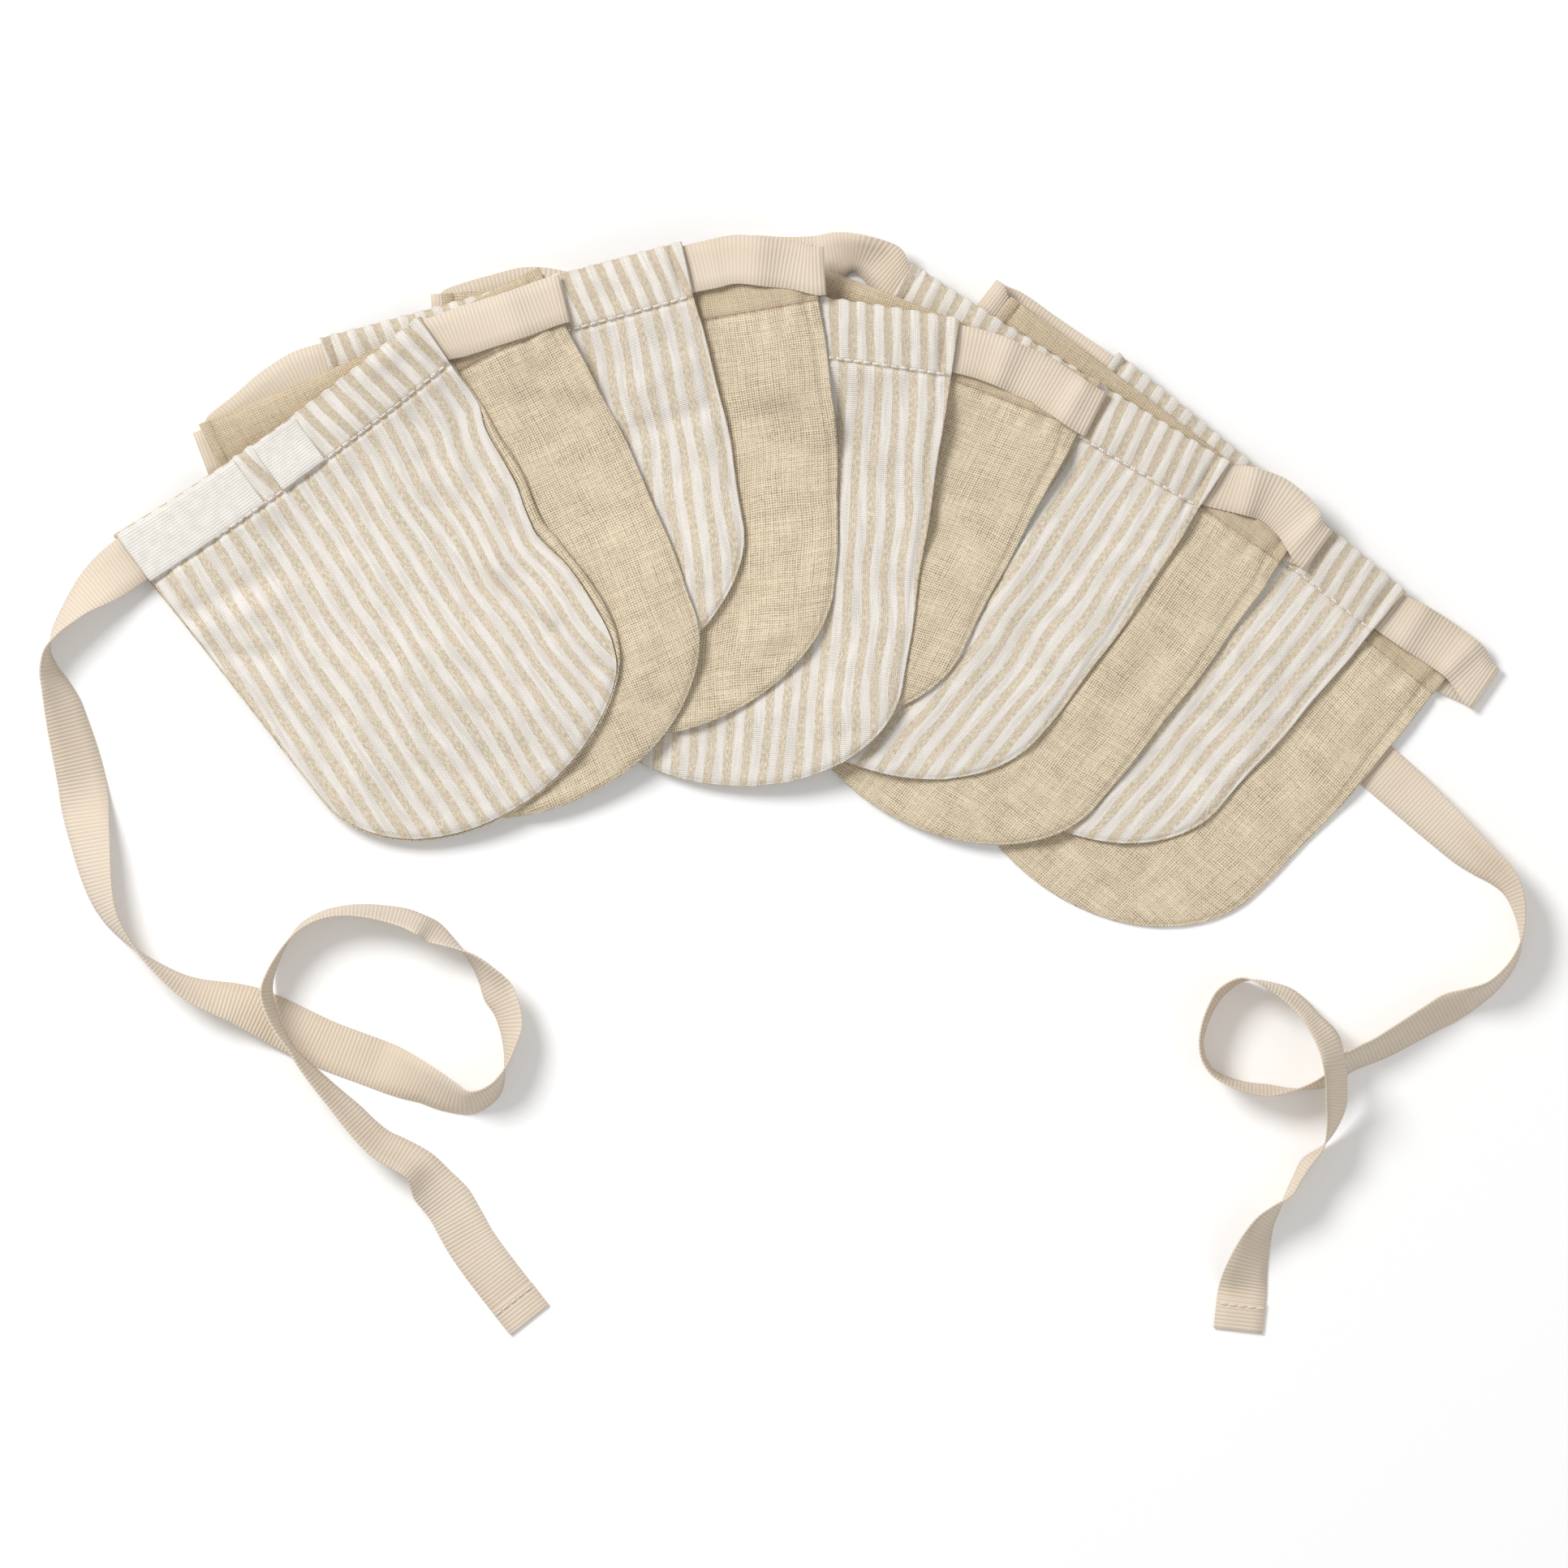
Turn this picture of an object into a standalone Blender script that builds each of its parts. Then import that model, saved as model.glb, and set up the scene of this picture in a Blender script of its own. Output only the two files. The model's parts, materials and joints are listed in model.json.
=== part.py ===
"""Fabric bunting: ten reversible pennants on one ribbon, laid out in a half circle on a flat surface.

Units are millimetres in the tables and the working code, and metres in the finished meshes. +Z is up from
the surface, and +Y is the top of the arrangement as it is seen from above. Pennant 1 lies on top of the heap
and pennant 10 at the bottom. The pieces are laid one after the other, from the bottom up, each on the heap
of those already laid, which a height map records.
"""

import math
from collections import namedtuple

import bpy
import numpy as np
from mathutils import Vector

MM = 0.001
SHIFT = (0.6, -0.3)

# Cloth
PANEL_THICK = 1.0
GAP = 0.3
HALF_TOP = 62.5
HALF_LOW = 58.2
TIP_LENGTH = 42.0
BACK_SHOWS = 0.6
CASING = 19.0
SWELL_REACH = 25.0
BOW_REACH = 60.0
LEAN_REACH = 30.0
BEND_AT = 150.0
RIPPLE_LONG = 38.0
RIPPLE_START = 10.0

# Ribbon
RIBBON_WIDE = 16.0
RIBBON_THICK = 1.0
RIBBON_AT = 9.5
HEM_THICK = 1.9
HEM_LONG = 10.0
FOLD_REACH = 1.8
FOLD_RISE = 2.4
FOLD_CLEAR = 1.8
FOLD_STEPS = (-60, -30, 0, 30, 60)
TAIL_STEP = 6.5
LOOP_GAP = 4
CHANNEL_STEPS = 10
CHANNEL_INSET = 1.5

# Labels on the channel of pennant 1
LABEL_THICK = 1.0
LABELS = (
    # name, start, end along the channel
    ("label_long", -62.0, -15.8),
    ("label_short", -8.1, 9.1),
)
LABEL_ROWS = (0.6, 2.4, 9.5, 16.6, 18.8)
LABEL_STEP = 8.0

# Grid of a panel
ACROSS = 8
CHANNEL_ROWS = (0.0, 2.2, 9.5, 16.8, 19.5)
BODY_ROWS = 7
TIP_ROWS = 3

# Heap
CELL = 1.0
HEAP_HALF = (270, 215)
SAMPLES_PER_MM = 2
ROUNDS = 14
PUSHES = 30
LAST_PUSHES = 400
CLOSE = 0.001
SLIGHT = 0.000001
SAG = 0.5
HELD_ROOM = 4.0
HELD_SHARE = 0.5
MOST_UPRIGHT = 1.25

# Each pennant as it lies: x and y of the middle of its top edge, turn of that edge in degrees, length from top
# to point, bow of the top edge, lean of the body in degrees, sideways bend at BEND_AT, swell of the right side,
# and height of the ripples of the right side.
Pennant = namedtuple("Pennant", "number x y turn length bow lean bend swell ripple")
PENNANTS = [
    Pennant(*row) for row in (
        (1, -172.8, 119.6, 35.3, 152.3, -2.5, 1.2, -1.7, -3.5, 1.2),
        (2, -138.8, 146.4, 24.7, 166.8, -2.0, 0.4, 1.1, 3.9, 0.3),
        (3, -94.8, 164.8, 14.8, 137.8, 0.0, 0.7, -5.8, 2.1, 0.3),
        (4, -52.4, 171.9, 7.3, 155.6, -2.1, 1.1, -12.0, 3.1, 0.3),
        (5, -3.6, 162.0, -6.6, 163.3, 2.2, 0.2, -0.8, -0.3, 0.3),
        (6, 47.5, 157.7, -21.7, 145.2, 1.0, 2.3, -16.2, -2.6, 0.3),
        (7, 95.7, 140.5, -32.1, 153.5, -0.8, 1.4, -7.8, 1.6, 0.3),
        (8, 125.7, 124.9, -37.3, 163.1, 0.6, 4.0, -5.8, 0.8, 0.3),
        (9, 159.7, 104.1, -39.6, 139.1, 0.2, 2.4, -4.5, 0.1, 0.3),
        (10, 180.6, 83.6, -38.3, 150.7, 0.2, -0.5, -4.7, 2.3, 0.3),
    )
]

# The fold of the ribbon between each pennant and the next, from its upper to its lower end.
FOLDS = (
    # link, side of the pennants, upper x, upper y, lower x, lower y
    (1, 1, -75.0, 170.5, -71.0, 154.0),
    (2, -1, -198.0, 117.0, -192.5, 102.5),
    (3, 1, 13.0, 180.0, 14.0, 162.5),
    (4, -1, -118.5, 164.0, -117.5, 147.5),
    (5, 1, 105.5, 132.0, 98.0, 117.0),
    (6, -1, -17.0, 183.5, -20.0, 167.5),
    (7, 1, 183.5, 84.0, 174.5, 71.5),
    (8, -1, 71.0, 169.0, 61.0, 156.0),
    (9, 1, 240.0, 38.5, 230.5, 24.5),
    (10, -1, 131.0, 131.0, 118.5, 115.5),
)

# The middle of the ribbon between a fold and the channel further off, and its roll in degrees.
RUNS = (
    # link, x, y, roll
    (1, -79.0, 160.5, 0),
    (1, -88.5, 157.0, 0),
    (1, -99.5, 153.5, 0),
    (1, -109.0, 150.5, 0),
    (2, -187.0, 117.5, 0),
    (2, -179.5, 123.5, 0),
    (2, -169.5, 132.0, 0),
    (2, -161.5, 137.0, 0),
    (3, 4.0, 173.0, 0),
    (3, -5.5, 174.0, 0),
    (3, -16.5, 175.0, 0),
    (3, -24.0, 173.5, 0),
    (4, -110.5, 158.0, 0),
    (4, -98.0, 162.0, 0),
    (4, -83.0, 165.0, 0),
    (4, -72.5, 163.0, 0),
    (5, 93.5, 130.0, 0),
    (5, 85.5, 135.0, 0),
    (5, 77.0, 139.0, 0),
    (5, 68.5, 142.5, 0),
    (6, -11.0, 175.5, 0),
    (6, 1.0, 175.0, 0),
    (6, 12.0, 175.5, 0),
    (6, 18.0, 176.8, 14),
    (6, 24.5, 177.5, 38),
    (6, 32.0, 174.5, 14),
    (7, 171.5, 88.0, 0),
    (7, 163.5, 95.0, 0),
    (7, 154.5, 98.0, 0),
    (8, 74.5, 158.0, 0),
    (8, 86.0, 150.0, 0),
    (8, 96.0, 143.0, 0),
    (9, 228.5, 40.0, 0),
    (9, 221.0, 46.0, 0),
    (9, 211.0, 52.5, 0),
    (10, 131.5, 105.0, 0),
    (10, 138.0, 87.0, 0),
    (10, 151.0, 62.0, 0),
    (10, 167.0, 39.5, 0),
    (10, 184.0, 20.0, 0),
    (10, 198.0, 6.5, 3),
)

# The free end beyond pennant 1, from its channel outwards: the middle of the ribbon, and its roll in degrees,
# counted so that between 0 and 180 the edge on the left of the way out is the raised one.
LEFT_TIE = (
    # x, y, roll
    (-227.5, 68.0, 20),
    (-235.5, 61.0, 54),
    (-246.5, 44.5, 96),
    (-241.5, 26.5, 138),
    (-235.0, 0.5, 172),
    (-233.0, -14.5, 206),
    (-225.0, -45.5, 253),
    (-201.5, -67.0, 293),
    (-180.0, -74.5, 330),
    (-168.5, -80.0, 350),
    (-154.0, -87.0, 360),
    (-135.5, -94.0, 360),
    (-120.0, -100.5, 398),
    (-105.0, -106.5, 422),
    (-96.5, -102.0, 434),
    (-91.5, -80.5, 479),
    (-95.5, -70.0, 490),
    (-104.0, -58.5, 460),
    (-117.5, -49.5, 424),
    (-126.5, -45.0, 428),
    (-148.0, -42.5, 440),
    (-162.0, -48.0, 446),
    (-173.0, -68.0, 462),
    (-171.0, -77.5, 462),
    (-164.5, -89.0, 456),
    (-145.0, -110.5, 480),
    (-135.5, -120.0, 487),
    (-122.5, -127.5, 495),
    (-117.5, -134.5, 520),
    (-112.5, -140.0, 532),
    (-104.5, -154.0, 540),
    (-89.5, -174.0, 540),
    (-85.5, -179.0, 540),
)
LEFT_LOOP_ROW = 18

# The free end beyond pennant 10, from where it comes out under that pennant.
RIGHT_TIE = (
    # x, y, roll
    (207.5, -2.0, 12),
    (228.5, -21.5, 39),
    (243.5, -35.0, 68),
    (246.0, -55.0, 95),
    (236.5, -68.0, 106),
    (222.5, -75.0, 128),
    (199.0, -88.5, 118),
    (189.0, -93.0, 114),
    (181.0, -99.5, 104),
    (162.0, -102.5, 78),
    (143.5, -96.5, 84),
    (139.5, -87.0, 85),
    (145.5, -70.5, 80),
    (153.0, -65.5, 85),
    (168.5, -70.5, 106),
    (176.5, -78.5, 110),
    (182.0, -86.5, 120),
    (184.5, -107.5, 115),
    (180.5, -121.0, 90),
    (174.5, -127.0, 79),
    (169.0, -137.0, 84),
    (161.0, -146.5, 113),
    (154.8, -162.5, 150),
    (153.4, -170.5, 180),
    (152.7, -176.5, 180),
    (152.0, -182.5, 180),
)
RIGHT_LOOP_ROW = 13


# ---------------------------------------------------------------- shape of a pennant in plan

def pennant_point(pennant, s, v):
    """World x and y of the cloth point s across from the middle line and v down from the top edge."""
    rise = pennant.bow * (1 - (s / HALF_TOP) ** 2) * max(0.0, 1 - v / BOW_REACH)
    tilt = math.radians(pennant.lean) * min(1.0, v / LEAN_REACH)
    across = s * math.cos(tilt) + v * math.sin(tilt) + pennant.bend * (v / BEND_AT) ** 2
    up = s * math.sin(tilt) - v * math.cos(tilt) + rise
    turn = math.radians(pennant.turn)
    return (
        pennant.x + across * math.cos(turn) - up * math.sin(turn),
        pennant.y + across * math.sin(turn) + up * math.cos(turn),
    )


def body_length(pennant):
    """Distance from the top edge to where the rounded point begins."""
    return pennant.length - TIP_LENGTH


def side_swell(pennant, v):
    """How far the right side stands out at v, besides the plain taper."""
    below = v - CASING
    if below <= 0:
        return 0.0
    share = min(1.0, below / (body_length(pennant) - CASING + SWELL_REACH))
    wave = pennant.ripple * math.sin(2 * math.pi * below / RIPPLE_LONG) * min(1.0, below / RIPPLE_START)
    return (pennant.swell + wave) * math.sin(math.pi * share)


def grid_rows(pennant):
    """The grid of one panel: rows of (s, v), from the top edge to the point."""
    low = body_length(pennant)
    first = CHANNEL_ROWS[-1]
    levels = list(CHANNEL_ROWS)
    levels += [first + (low - first) * k / BODY_ROWS for k in range(1, BODY_ROWS + 1)]
    rows = []
    for v in levels:
        half = HALF_TOP + (HALF_LOW - HALF_TOP) * v / low
        rows.append([(u * half, v) for u in np.linspace(-1, 1, ACROSS + 1)])
    for k in range(1, TIP_ROWS + 1):
        q = k / TIP_ROWS
        row = []
        for u in np.linspace(-1, 1, ACROSS + 1):
            s = HALF_LOW * u * math.sqrt(1 - q * q / 2)
            v = low + TIP_LENGTH * q * math.sqrt(1 - u * u / 2)
            row.append((s, v))
        rows.append(row)
    return rows


def panel_plan(pennant, extra):
    """World x, y of the grid points, with the side and the point moved out by extra."""
    points = []
    for row in grid_rows(pennant):
        half = row[-1][0]
        for s, v in row:
            side = s / half
            out = side_swell(pennant, v) * side if side > 0 else 0.0
            more_v = extra * max(0.0, v - body_length(pennant)) / TIP_LENGTH
            points.append(pennant_point(pennant, s + out + extra * side, v + more_v))
    return np.array(points), len(grid_rows(pennant)), ACROSS + 1


def grid_faces(rows, columns):
    """Triangles of a grid, with the diagonals turned outwards at the lower corners. They face up."""
    faces = []
    for i in range(rows - 1):
        for j in range(columns - 1):
            a = i * columns + j
            b, c, d = a + 1, a + columns + 1, a + columns
            if 2 * j < columns - 1:
                faces += [(a, d, b), (b, d, c)]
            else:
                faces += [(a, d, c), (a, c, b)]
    return np.array(faces)


def grid_rim(rows, columns):
    """Point numbers round the edge of a grid, anticlockwise from above."""
    left = [i * columns for i in range(rows)]
    bottom = [(rows - 1) * columns + j for j in range(columns)]
    right = [i * columns + columns - 1 for i in range(rows - 1, -1, -1)]
    top = [j for j in range(columns - 1, -1, -1)]
    return left[:-1] + bottom[:-1] + right[:-1] + top[:-1]


# ---------------------------------------------------------------- the heap

def new_heap():
    """Height of the top of what has been laid, one number for each cell. Bare surface counts as -GAP."""
    return np.full((2 * HEAP_HALF[0], 2 * HEAP_HALF[1]), -GAP)


def cells_of(xy):
    """Column and row of the heap's cell at each point."""
    column = np.floor(xy[:, 0] / CELL).astype(int) + HEAP_HALF[0]
    row = np.floor(xy[:, 1] / CELL).astype(int) + HEAP_HALF[1]
    return column, row


def stamp(heap, xy, top):
    """Records the tops of a piece, given as a dense set of its points."""
    column, row = cells_of(xy)
    np.maximum.at(heap, (column, row), top)


def spread(heap):
    """The heap with each cell raised to the highest of itself and its neighbours."""
    wide = heap.copy()
    for axis in (0, 1):
        once = np.maximum(np.roll(wide, 1, axis), np.roll(wide, -1, axis))
        wide = np.maximum(wide, once)
    return wide


def under(heap, xy):
    """Lowest height allowed at each point for what lies on the heap."""
    column, row = cells_of(xy)
    return heap[column, row] + GAP


def mean_near(z, links):
    """Mean height of the neighbours of each point."""
    total = np.zeros(len(z))
    count = np.zeros(len(z))
    for a, b in ((links[:, 0], links[:, 1]), (links[:, 1], links[:, 0])):
        np.add.at(total, a, z[b])
        np.add.at(count, a, 1.0)
    return total / np.maximum(count, 1.0)


def push_up(z, cap, free, index, weight, need, pushes):
    """Raises the free heights, none above its cap, until each sample reaches its need."""
    pull = weight * free[index]
    share = pull / (pull ** 2).sum(axis=1)[:, None]
    for _ in range(pushes):
        short = need - (z[index] * weight).sum(axis=1)
        low = short > CLOSE
        if not low.any():
            break
        lift = np.zeros(len(z))
        np.maximum.at(lift, index[low].ravel(), (short[low, None] * share[low]).ravel())
        z = np.minimum(z + lift, cap)
    return z


def sink(count, index, weight, need, links, held=None, least=None):
    """Heights of count points that sink onto the heap and stay as smooth as it lets them.

    Each sample is a weighted mean of some points and must stay at or above its need. held gives the heights
    of points that don't move, and least the lowest heights allowed.
    """
    high = np.zeros(count)
    for column in range(index.shape[1]):
        bears = weight[:, column] > SLIGHT
        np.maximum.at(high, index[bears, column], need[bears])
    if least is not None:
        high = np.maximum(high, least)
    cap = high.copy()
    np.maximum.at(cap, links[:, 0], high[links[:, 1]])
    np.maximum.at(cap, links[:, 1], high[links[:, 0]])
    floor = np.zeros(count) if least is None else least
    free = np.ones(count)
    z = high.copy()
    if held is not None:
        for point, height in held.items():
            free[point], z[point], cap[point] = 0.0, height, height
        cap[free > 0] += HELD_ROOM
    for _ in range(ROUNDS):
        goal = np.clip(mean_near(z, links) - SAG, floor, cap)
        z = np.where(free > 0, (z + goal) / 2, z)
        z = push_up(z, cap, free, index, weight, need, PUSHES)
    return push_up(z, cap, free, index, weight, need, LAST_PUSHES)


def face_samples(xy, faces):
    """Point numbers and weights of the heap cells that lie inside each triangle, and of the corners."""
    index, weight = [], []
    for face in faces:
        a, b, c = xy[face]
        area = (b[0] - a[0]) * (c[1] - a[1]) - (c[0] - a[0]) * (b[1] - a[1])
        low = np.floor(np.min((a, b, c), axis=0) / CELL)
        high = np.ceil(np.max((a, b, c), axis=0) / CELL)
        cells = [(np.arange(low[k], high[k]) + 0.5) * CELL for k in (0, 1)]
        gx, gy = np.meshgrid(*cells, indexing="ij")
        gx, gy = gx.ravel(), gy.ravel()
        wb = ((gx - a[0]) * (c[1] - a[1]) - (c[0] - a[0]) * (gy - a[1])) / area
        wc = ((b[0] - a[0]) * (gy - a[1]) - (gx - a[0]) * (b[1] - a[1])) / area
        inside = (wb >= 0) & (wc >= 0) & (wb + wc <= 1)
        wb, wc = wb[inside], wc[inside]
        w = np.vstack([np.stack([1 - wb - wc, wb, wc], axis=1), np.eye(3)])
        index.append(np.tile(face, (len(w), 1)))
        weight.append(w)
    return np.vstack(index), np.vstack(weight)


def face_links(faces):
    """Pairs of points that share an edge, each once."""
    pairs = np.vstack([faces[:, (0, 1)], faces[:, (1, 2)], faces[:, (2, 0)]])
    return np.unique(np.sort(pairs, axis=1), axis=0)


def lay_sheet(heap, xy, faces, thick):
    """Lays a sheet on the heap. Returns the heights of its underside and of its top, and records it."""
    index, weight = face_samples(xy, faces)
    spots = (xy[index] * weight[:, :, None]).sum(axis=1)
    z = sink(len(xy), index, weight, under(spread(heap), spots), face_links(faces))
    top = z + thick * upright(xy, z, faces)
    stamp(heap, spots, (top[index] * weight).sum(axis=1))
    return z, top


def upright(xy, z, faces):
    """Upright thickness over thickness at each point, which is more where the sheet slopes."""
    points = np.column_stack([xy, z])
    a, b, c = points[faces[:, 0]], points[faces[:, 1]], points[faces[:, 2]]
    normal = np.cross(b - a, c - a)
    total = np.zeros((len(xy), 3))
    for k in range(3):
        np.add.at(total, faces[:, k], normal)
    total /= np.linalg.norm(total, axis=1)[:, None]
    return np.minimum(1 / np.abs(total[:, 2]), MOST_UPRIGHT)


# ---------------------------------------------------------------- the ribbon

def unit(vector):
    return vector / np.linalg.norm(vector)


def left_of(direction):
    return np.array((-direction[1], direction[0]))


def spline(rows):
    """Points about TAIL_STEP apart on a smooth curve through the rows, with the roll between the rows."""
    knots = np.array(rows, dtype=float)
    knots = np.vstack([2 * knots[0] - knots[1], knots, 2 * knots[-1] - knots[-2]])
    points = [knots[1]]
    for k in range(1, len(knots) - 2):
        p = knots[k - 1:k + 3]
        t = np.cumsum([0.0] + [math.sqrt(math.dist(p[n][:2], p[n + 1][:2])) for n in range(3)])
        steps = max(1, round(math.dist(p[1][:2], p[2][:2]) / TAIL_STEP))
        for step in range(1, steps + 1):
            at = t[1] + (t[2] - t[1]) * step / steps
            a = [(t[n + 1] - at) / (t[n + 1] - t[n]) * p[n] + (at - t[n]) / (t[n + 1] - t[n]) * p[n + 1]
                 for n in range(3)]
            b = [(t[n + 2] - at) / (t[n + 2] - t[n]) * a[n] + (at - t[n]) / (t[n + 2] - t[n]) * a[n + 1]
                 for n in range(2)]
            point = (t[2] - at) / (t[2] - t[1]) * b[0] + (at - t[1]) / (t[2] - t[1]) * b[1]
            point[2] = p[1][2] + (p[2][2] - p[1][2]) * step / steps
            points.append(point)
    return np.array(points)


def rolled_edges(path, left_is_a):
    """Plan positions of the edges A and B along a path of (x, y, roll), and the height of A over B."""
    path = np.array(path, dtype=float)
    edge_a, edge_b, over = [], [], []
    for k in range(len(path)):
        ahead = unit(path[min(k + 1, len(path) - 1), :2] - path[max(k - 1, 0), :2])
        roll = math.radians(path[k, 2])
        side = left_of(ahead) * math.cos(roll) * RIBBON_WIDE / 2
        sign = 1 if left_is_a else -1
        edge_a.append(path[k, :2] + sign * side)
        edge_b.append(path[k, :2] - sign * side)
        over.append(sign * RIBBON_WIDE * math.sin(roll))
    return np.array(edge_a), np.array(edge_b), np.array(over)


def strip_samples(edge_a, edge_b):
    """Point numbers and weights of samples all over a strip whose points run A0, B0, A1, B1 and on."""
    index, weight = [], []
    across = np.linspace(0, 1, int(SAMPLES_PER_MM * RIBBON_WIDE) + 1)
    for k in range(len(edge_a) - 1):
        long = max(math.dist(edge_a[k], edge_a[k + 1]), math.dist(edge_b[k], edge_b[k + 1]))
        along = np.linspace(0, 1, max(2, math.ceil(SAMPLES_PER_MM * long)))
        f, g = [grid.ravel() for grid in np.meshgrid(along, across)]
        weight.append(np.stack([(1 - f) * (1 - g), (1 - f) * g, f * (1 - g), f * g], axis=1))
        index.append(np.tile(np.arange(2 * k, 2 * k + 4), (len(f), 1)))
    return np.vstack(index), np.vstack(weight)


def lay_strip(heap, edge_a, edge_b, over, least=None, start=None):
    """Lays a stretch of ribbon on the heap and returns the heights of its middle at its two edges.

    over gives the height of A over B where the ribbon is rolled, and nan where it lies as the heap lets it.
    least gives the lowest heights allowed for the first pair, and start the heights of a first pair laid
    before.
    """
    count = len(edge_a)
    xy = np.column_stack([edge_a, edge_b]).reshape(-1, 2)
    index, weight = strip_samples(edge_a, edge_b)
    spots = (xy[index] * weight[:, :, None]).sum(axis=1)
    need = under(spread(heap), spots) + RIBBON_THICK / 2
    tied = ~np.isnan(over)
    if start is not None:
        tied[0] = False
    offset = np.zeros((count, 2))
    offset[tied, 0] = np.maximum(over[tied], 0.0)
    offset[tied, 1] = np.maximum(-over[tied], 0.0)
    need = need - (offset.ravel()[index] * weight).sum(axis=1)
    owner = np.arange(2 * count).reshape(count, 2)
    owner[tied, 1] = owner[tied, 0]
    owner = owner.ravel()
    held, lowest = None, np.full(2 * count, RIBBON_THICK / 2)
    if start is not None:
        held = {0: start[0], 1: start[1]}
        clear = (weight * (index < 2)).sum(axis=1) < HELD_SHARE
        index, weight, need = index[clear], weight[clear], need[clear]
    if least is not None:
        lowest[:2] = least
    links = np.array([(k, k + 2) for k in range(2 * count - 2)])
    z = sink(2 * count, owner[index], weight, need, owner[links], held, lowest)
    return z[owner].reshape(-1, 2) + offset


def stamp_strip(heap, edge_a, edge_b, z):
    """Records a stretch of ribbon on the heap."""
    if len(edge_a) < 2:
        return
    xy = np.column_stack([edge_a, edge_b]).reshape(-1, 2)
    index, weight = strip_samples(edge_a, edge_b)
    spots = (xy[index] * weight[:, :, None]).sum(axis=1)
    stamp(heap, spots, (z.ravel()[index] * weight).sum(axis=1) + RIBBON_THICK / 2)


def stations(edge_a, edge_b, z):
    """Rows of A and B as points in space."""
    return [(np.append(a, h[0]), np.append(b, h[1])) for a, b, h in zip(edge_a, edge_b, z)]


def fold_line(link):
    """Ends of a fold in plan and the direction out of it, moved out where the channel needs the room."""
    _, side, ax, ay, bx, by = FOLDS[link - 1]
    a, b = np.array((ax, ay)), np.array((bx, by))
    along = unit(a - b)
    middle = (a + b) / 2
    a, b = middle + along * RIBBON_WIDE / 2, middle - along * RIBBON_WIDE / 2
    out = left_of(along)
    number = link + 1 if side > 0 else link
    pennant = PENNANTS[number - 1]
    turn = math.radians(pennant.turn)
    if np.dot(out, (math.cos(turn), math.sin(turn))) * side < 0:
        out = -out
    reach = max(
        float(np.dot(np.array(pennant_point(pennant, side * (HALF_TOP + BACK_SHOWS), v)) - middle, out))
        for v in (0.0, RIBBON_AT, CASING)
    )
    shift = out * max(0.0, reach + FOLD_CLEAR)
    return a + shift, b + shift, out


def fold_start(link):
    """A and B in plan where the ribbon begins to turn at a fold."""
    a, b, out = fold_line(link)
    inset = out * (FOLD_REACH + RIBBON_THICK / 2)
    return a - inset, b - inset


def fold_turn(link, low, high):
    """Stations round a fold, from the lower pair of heights to the upper pair."""
    a, b = fold_start(link)
    out = fold_line(link)[2]
    rows = []
    for angle in FOLD_STEPS:
        c, s = math.cos(math.radians(angle)), math.sin(math.radians(angle))
        edges = []
        for edge, h0, h1 in ((a, low[0], high[0]), (b, low[1], high[1])):
            edges.append(np.append(edge + out * FOLD_REACH * c, (h0 + h1) / 2 + (h1 - h0) / 2 * s))
        rows.append(tuple(edges))
    return rows


def channel_edges(pennant, from_side):
    """A and B along a channel, from its left end where from_side is -1 and from its right end where it is 1."""
    s_values = np.linspace(from_side, -from_side, CHANNEL_STEPS + 1) * (HALF_TOP - CHANNEL_INSET)
    half = RIBBON_WIDE / 2
    a = [pennant_point(pennant, s, RIBBON_AT - half) for s in s_values]
    b = [pennant_point(pennant, s, RIBBON_AT + half) for s in s_values]
    return np.array(a), np.array(b)


def run_edges(link, before, after):
    """A and B of the run of a link, between the pairs before and after it."""
    rows = [row[1:] for row in RUNS if row[0] == link]
    middles = [np.array(row[:2]) for row in rows]
    ends = [(before[0] + before[1]) / 2] + middles + [(after[0] + after[1]) / 2]
    upward = before[0] - before[1]
    a, b, over = [], [], []
    for k, row in enumerate(rows):
        side = left_of(unit(ends[k + 2] - ends[k]))
        side = side if np.dot(side, upward) > 0 else -side
        roll = math.radians(row[2])
        a.append(middles[k] + side * math.cos(roll) * RIBBON_WIDE / 2)
        b.append(middles[k] - side * math.cos(roll) * RIBBON_WIDE / 2)
        over.append(RIBBON_WIDE * math.sin(roll) if row[2] else np.nan)
        upward = a[-1] - b[-1]
    return np.array(a), np.array(b), np.array(over)


def run_between(link, start_pair, end_pair):
    """The run of a link with its roll, from start_pair to end_pair, which may be against the table's order."""
    fold = fold_start(link)
    if math.dist(start_pair[0], fold[0]) < math.dist(end_pair[0], fold[0]):
        return run_edges(link, start_pair, end_pair)
    a, b, over = run_edges(link, end_pair, start_pair)
    return a[::-1], b[::-1], over[::-1]


def channel_stretch(number):
    """Plan of the ribbon from the fold before pennant number to the fold after it, and its roll."""
    pennant = PENNANTS[number - 1]
    from_side = -1 if number % 2 == 0 else 1
    a, b = channel_edges(pennant, from_side)
    flat = np.full(len(a), np.nan)
    pieces_a, pieces_b, over = [a], [b], [flat]
    first = fold_start(number)
    if from_side > 0:
        run = run_between(number, first, (a[0], b[0]))
        pieces_a.insert(0, run[0])
        pieces_b.insert(0, run[1])
        over.insert(0, run[2])
    pieces_a.insert(0, first[0][None, :])
    pieces_b.insert(0, first[1][None, :])
    over.insert(0, np.array([np.nan]))
    if number > 1:
        last = fold_start(number - 1)
        if from_side > 0:
            run = run_between(number - 1, (a[-1], b[-1]), last)
            pieces_a.append(run[0])
            pieces_b.append(run[1])
            over.append(run[2])
        pieces_a.append(last[0][None, :])
        pieces_b.append(last[1][None, :])
        over.append(np.array([np.nan]))
    return np.vstack(pieces_a), np.vstack(pieces_b), np.concatenate(over)


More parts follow.
